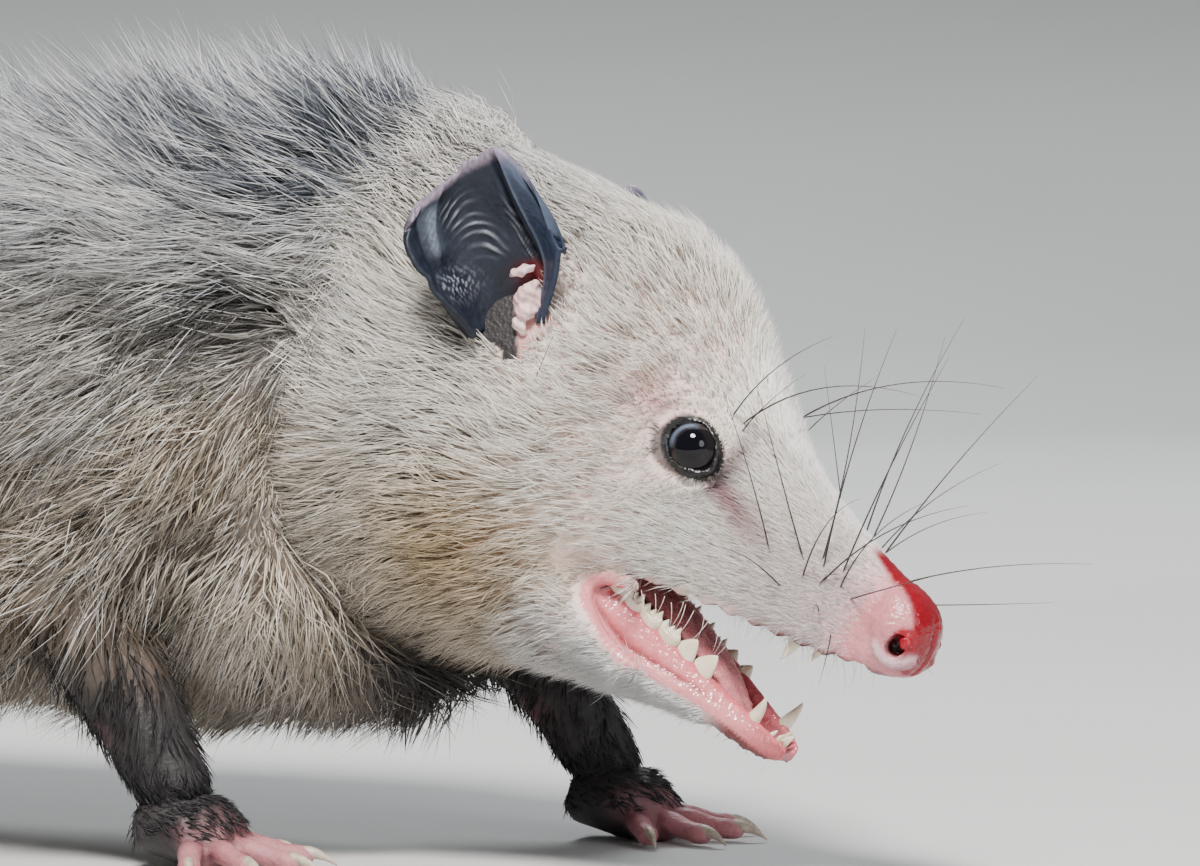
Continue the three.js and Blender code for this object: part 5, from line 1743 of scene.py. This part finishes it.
def grow_legs():
    hair = coat_material("leg_fur", 0.55)

    def density(p, n):
        x, z = p[:, 0], p[:, 2]
        ankle = smooth(6, 9, z) * smooth(19, 14, leg_far(p))
        body = (in_head(p) < 0.4) & (z < 70) & (x > -262)
        return ankle * body * mix(mix(1.6, 0.7, smooth(20, 50, z)), 6, smooth(26, 18, z))

    fur = sown(SKIN, density, HAIRS["leg"], leg_lie)
    n = len(fur.root)
    low = smooth(64, 18, fur.root[:, 2])
    steps = (0, 0.5, 1)
    length = mix(mix(16, 6, low), 4.2, smooth(26, 14, fur.root[:, 2])) * rng.uniform(0.75, 1.2, n)
    fur.grow(length, mix(34, 17, low), 5 + 0 * low, steps, 16, 10, 0.6, 0, 0.3, 0.1)
    colour = blend(np.tile(mix(BROWN, TAN, 0.25), (n, 1)), BLACK * 1.3, smooth(66, 44, fur.root[:, 2]))
    root, end = shades(colour, colour * 1.3, n, 0.3)
    width = mix(0.6, 0.36, low) * rng.uniform(0.8, 1.2, n)
    fur.blades("leg_fur", width, faded(root, end, steps), body_unwrap, hair, (1, 0.85))


def tail_unwrap(p):
    d, _ = near_tail(p)
    middle = tail_middle(d)
    angle = np.arctan2(p[:, 2] - middle[:, 2], p[:, 1] - middle[:, 1]) / (2 * math.pi) + 0.5
    return np.stack([angle, d / 340], -1)


def grow_tail():
    """Fur over the root of the tail, thinning out to short stiff hairs among the scales."""
    hair = coat_material("tail_fur", 0.55)
    d = TAIL_LENGTH * rng.random(HAIRS["tail"]) ** 2.2
    d = d[rng.random(len(d)) < mix(0.35, 1, smooth(80, 30, d))]
    a = rng.random(len(d)) * 2 * math.pi
    middle, ahead, side, up = tail_frame(d)
    normal = side * np.cos(a)[:, None] + up * np.sin(a)[:, None]
    root = middle + normal * (tail_radius(d) - 0.6)[:, None]
    good = (root[:, 2] > 0.8) & (d > 4)
    fur, d = Coat(root[good], normal[good], ahead[good]), d[good]
    n = len(d)
    furry = smooth(70, 30, d)
    steps = (0, 0.5, 1)
    length = mix(2.6, 19, furry) * rng.uniform(0.8, 1.2, n)
    fur.grow(length, mix(16, 26, furry), mix(8, 10, furry), steps, 12, 8, 0.5)
    guard = coat_marks(fur.root)[2]
    pale = (rng.random(n) < 0.4 * furry)[:, None]
    colour = np.where(pale, guard, blend(np.tile(BLACK * 2, (n, 1)), CREAM * 0.7, smooth(70, 140, d)))
    root, end = shades(colour * 0.8, colour, n, 0.2)
    width = mix(0.2, 0.6, furry)
    fur.blades("tail_fur", width, faded(root, end, steps), tail_unwrap, hair, (1, 0.8))


# Whiskers


def whisker(root, way, bend, length, radius=0.15):
    """A long stiff hair's tube, from a point of the head's frame."""
    t = np.linspace(0, 1, 14)[:, None]
    way, bend = unit(np.array(way, float)), np.array(bend, float)
    path = np.array(root, float) + length * (t * way + 0.5 * t * t * bend)
    return lofted(tube(path, radius * (1 - 0.86 * t[:, 0] ** 1.2), 6, 1.0, (0.3, 0.2, 1)))


# Whiskers of one side, on the lip, over the eye and on the cheek: the root's distance behind the nose
# and its level, how far the hair runs ahead, out and up, and how its end bends
WHISKERS = [
    [29, 6.5, -20, 9, 27, [-0.25, 0, 0.35]], [26, 8.3, -8, 12, 42, [-0.3, 0, 0.2]],
    [25, 7, 4, 16, 50, [0.25, 0.1, 0.1]], [21, 7.5, 8, 14, 46, [0.2, 0.1, 0.1]],
    [24, 4.5, 20, 18, 32, [0.5, 0.1, -0.3]], [20, 5, 26, 16, 26, [0.5, 0, -0.2]],
    [17, 4, 22, 20, 18, [0.3, 0, 0.2]], [28, 3.2, 12, 22, 26, [0.5, 0, -0.5]],
    [24, 3, 5, 4, 9, [1.2, 0, -1.0]], [33, 2.5, -22, 5, 1, [0, 0, 0.5]],
    [31, 0, -6, 24, 8, [0.2, 0, -0.4]], [22, -1, 8, 20, 3, [0.3, 0, -0.6]],
    [36, 5, -14, 18, 24, [-0.4, 0, 0.2]], [18, -4, 9, 12, -7, [0, 0, -0.5]],
    [54, 25.5, 34, 12, 30, [0.6, 0, -0.6]], [56, 26, 20, 10, 28, [0.5, 0, -0.2]],
    [53, 24, 10, 8, 17, [0.4, 0, 0]], [92, 10, 3, 5, 20, [0, 0, 0.1]],
    [88, -4, -12, 9, 10, [-0.3, 0, 0]], [95, -8, -20, 8, -4, [-0.2, 0, -0.3]],
]


def make_whiskers():
    pieces = []
    for side in (-1, 1):
        for s, z, ahead, out, rise, bend in WHISKERS:
            jitter = rng.normal(0, 0.07, 3)
            if side > 0:
                s, z = s + rng.uniform(-2, 2), z + rng.uniform(-1, 1)
                jitter = jitter * 2.5
            fur = at(FACE_FUR, s)
            width, top, mid = at(HEAD_WIDTH, s) - fur, at(HEAD_TOP, s) - fur, at(HEAD_MID, s)
            low = at(THROAT, s) if s > MOUTH_WALL else at(LIP_LINE, s)
            share = abs(z - mid) / ((top - mid) if z > mid else (mid - low))
            y = side * width * math.sqrt(max(0.02, 1 - min(1, share) ** 2.1)) * 0.96
            way = np.array([ahead, side * out, rise], float)
            length = np.linalg.norm(way) * 1.02
            bend = np.array(bend) * [1, side, 1]
            way = unit(way) + jitter - bend * 0.35
            pieces.append(whisker([-s, y, z], way, bend, length, 0.13 + 0.0016 * length))
    points, faces = joined(pieces)
    return from_head(points), faces


def make_lip_hairs():
    """Fine pale hairs that hang from the upper lip and the chin."""
    pieces = []
    for side in (-1, 1):
        for k in range(26):
            s = 15 + 1.7 * k + rng.uniform(-0.8, 0.8)
            root = [-s, side * at(HEAD_WIDTH, s) * 0.9, at(LIP_LINE, s) + rng.uniform(0.6, 2.2)]
            way = [rng.uniform(-0.1, 0.9), side * rng.uniform(0.1, 0.5), -0.9]
            pieces.append(whisker(root, way, [-0.5, 0, 0.1], rng.uniform(5, 10), 0.075))
        for k in range(16):
            x = 46 + 2.1 * k + rng.uniform(-0.8, 0.8)
            root = np.array([[x, side * at(JAW_WIDTH, x) * 0.7, at(JAW_LOW, x) * 0.85 + 1]])
            way = [rng.uniform(-0.5, 0.3), side * 0.4, -0.9]
            pieces.append(whisker(from_jaw(root)[0], way, [-0.4, 0, 0.1], rng.uniform(4, 9), 0.075))
    points, faces = joined(pieces)
    return from_head(points), faces


# Everything that isn't skin or coat

FLESH = ["head", "nose", "lower_jaw", "neck", "torso", "tail_root", "tail_front", "tail_middle", "tail_tip"]
for kind in ("foreleg", "forefoot", "hindleg", "hindfoot"):
    FLESH += [f"{kind}_right", f"{kind}_left"]
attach(skin, "root")
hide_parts(*FLESH)


def place(made, material, slot, *nodes):
    made.data.materials.clear()
    made.data.materials.append(material)
    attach(made, "root")
    if nodes:
        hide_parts(*nodes)
    return made


eyes = eye_material()
leather = ear_material()
soft = {"Subsurface_Weight": 0.15, "Subsurface_Radius": (0.004, 0.0015, 0.001), "Subsurface_Scale": 0.3}
folds = simple_material("ear_flesh", (0.78, 0.62, 0.61), (0.70, 0.42, 0.40), 0.4, 300, **soft)
for name, side in (("right", -1), ("left", 1)):
    place(make_eye(f"eye_ball_{name}", side), eyes, "eye", f"eye_{name}")
    place(make_ear(f"ear_shell_{name}", EARS[name]), leather, "ear", f"ear_{name}")
    place(ear_lumps(f"ear_flesh_{name}", EARS[name]), folds, "ear")

enamel = simple_material("enamel", (0.84, 0.76, 0.62), (0.72, 0.58, 0.40), 0.2, 300, 0.00008, 0.6)
points, faces = lower_teeth()
place(object_of("lower_teeth", from_head(from_jaw(points)), faces), enamel, "mouth")
points, faces = upper_teeth()
place(object_of("upper_teeth", from_head(points), faces), enamel, "mouth")
tongue_skin = simple_material(
    "tongue_skin", (0.72, 0.26, 0.27), (0.56, 0.15, 0.17), 0.24, 500, 0.0004, 0.55, **soft
)
points, faces = make_tongue()
place(object_of("tongue_flesh", from_head(from_jaw(points)), faces), tongue_skin, "mouth", "tongue")
horn = simple_material("claw_horn", (0.62, 0.52, 0.42), (0.36, 0.28, 0.22), 0.35, 700, 0.0001)
points, faces = joined(claw_parts)
points[:, 2] = np.maximum(points[:, 2], 0.05)
place(object_of("claws", points, faces), horn, "paw")
stiff = simple_material("whisker_hair", (0.012, 0.010, 0.010), (0.05, 0.04, 0.035), 0.35, 900, 0.00002)
points, faces = make_whiskers()
place(object_of("whiskers", points, faces), stiff, "face")
pale = simple_material("lip_hair", (0.80, 0.76, 0.70), (0.62, 0.56, 0.48), 0.4, 900, 0.00002)
points, faces = make_lip_hairs()
place(object_of("lip_hairs", points, faces), pale, "face")

grow_face()
grow_body()
grow_legs()
grow_tail()


# Stage: a pale floor with a low bank behind, soft lights and the camera

VIEW_TURN, VIEW_HEIGHT, VIEW_DISTANCE = math.radians(22), math.radians(3), 1.348


def make_stage():
    profile = [
        (-8.0, 0), (-3.0, 0), (1.7, 0), (1.95, 0.03), (2.2, 0.12), (2.42, 0.215), (2.65, 0.25), (8.0, 0.25),
    ]
    mesh = bpy.data.meshes.new("floor")
    rows = [(x, y, z) for y, z in profile for x in (-8.0, 8.0)]
    faces = [(i, i + 1, i + 3, i + 2) for i in range(0, len(rows) - 2, 2)]
    mesh.from_pydata(rows, [], faces)
    mesh.polygons.foreach_set("use_smooth", [True] * len(faces))
    floor = bpy.data.objects.new("floor", mesh)
    bpy.context.scene.collection.objects.link(floor)
    floor.rotation_euler = (0, 0, VIEW_TURN)
    n = Nodes("floor_paper")
    tone = n.blend(n.span(n.noise(3, 2), 0.3, 0.7, 0.0, 1.0), (0.56, 0.56, 0.555), (0.60, 0.60, 0.595))
    floor.data.materials.append(n.finish(Base_Color=tone, Roughness=0.85, Specular_IOR_Level=0.2))


def add_light(name, at_, target, size, energy, colour=(1, 1, 1)):
    data = bpy.data.lights.new(name, "AREA")
    data.shape = "DISK"
    data.size = size
    data.energy = energy
    data.color = colour
    made = bpy.data.objects.new(name, data)
    made.location = at_
    made.rotation_euler = (Vector(target) - Vector(at_)).to_track_quat("-Z", "Y").to_euler()
    bpy.context.scene.collection.objects.link(made)


make_stage()
add_light("key", (0.55, -1.15, 1.75), (0.1, 0, 0.08), 0.6, 88, (1.0, 0.975, 0.94))
add_light("front", (1.9, -1.0, 0.8), (0.15, 0, 0.06), 1.0, 14, (0.95, 0.98, 1.0))
add_light("back", (-0.5, 1.4, 1.5), (0, 0, 0.1), 0.8, 30, (0.95, 0.98, 1.0))
world = bpy.data.worlds.new("world")
bpy.context.scene.world = world
world.use_nodes = True
world.node_tree.nodes["Background"].inputs["Color"].default_value = (0.82, 0.87, 0.93, 1)
world.node_tree.nodes["Background"].inputs["Strength"].default_value = 0.30

# The camera looks at a point behind and over the tip of the nose
VIEW_POINT = (np.array([164.0, -22, 50]) + SHIFT) * MM
VIEW_LEFT, VIEW_UP = 0.0695, 0.043  # from the nose's tip to the middle of the view
right = np.array([math.cos(VIEW_TURN), math.sin(VIEW_TURN), 0])
level = math.cos(VIEW_HEIGHT)
back = np.array([math.sin(VIEW_TURN) * level, -math.cos(VIEW_TURN) * level, math.sin(VIEW_HEIGHT)])
up = np.cross(back, right)
target = VIEW_POINT - VIEW_LEFT * right + VIEW_UP * up
camera_data = bpy.data.cameras.new("camera")
camera_data.lens = 200
camera_data.sensor_width = 36
camera = bpy.data.objects.new("camera", camera_data)
camera.location = target + back * VIEW_DISTANCE
camera.rotation_euler = Vector(-back).to_track_quat("-Z", "Y").to_euler()
bpy.context.scene.collection.objects.link(camera)
bpy.context.scene.camera = camera
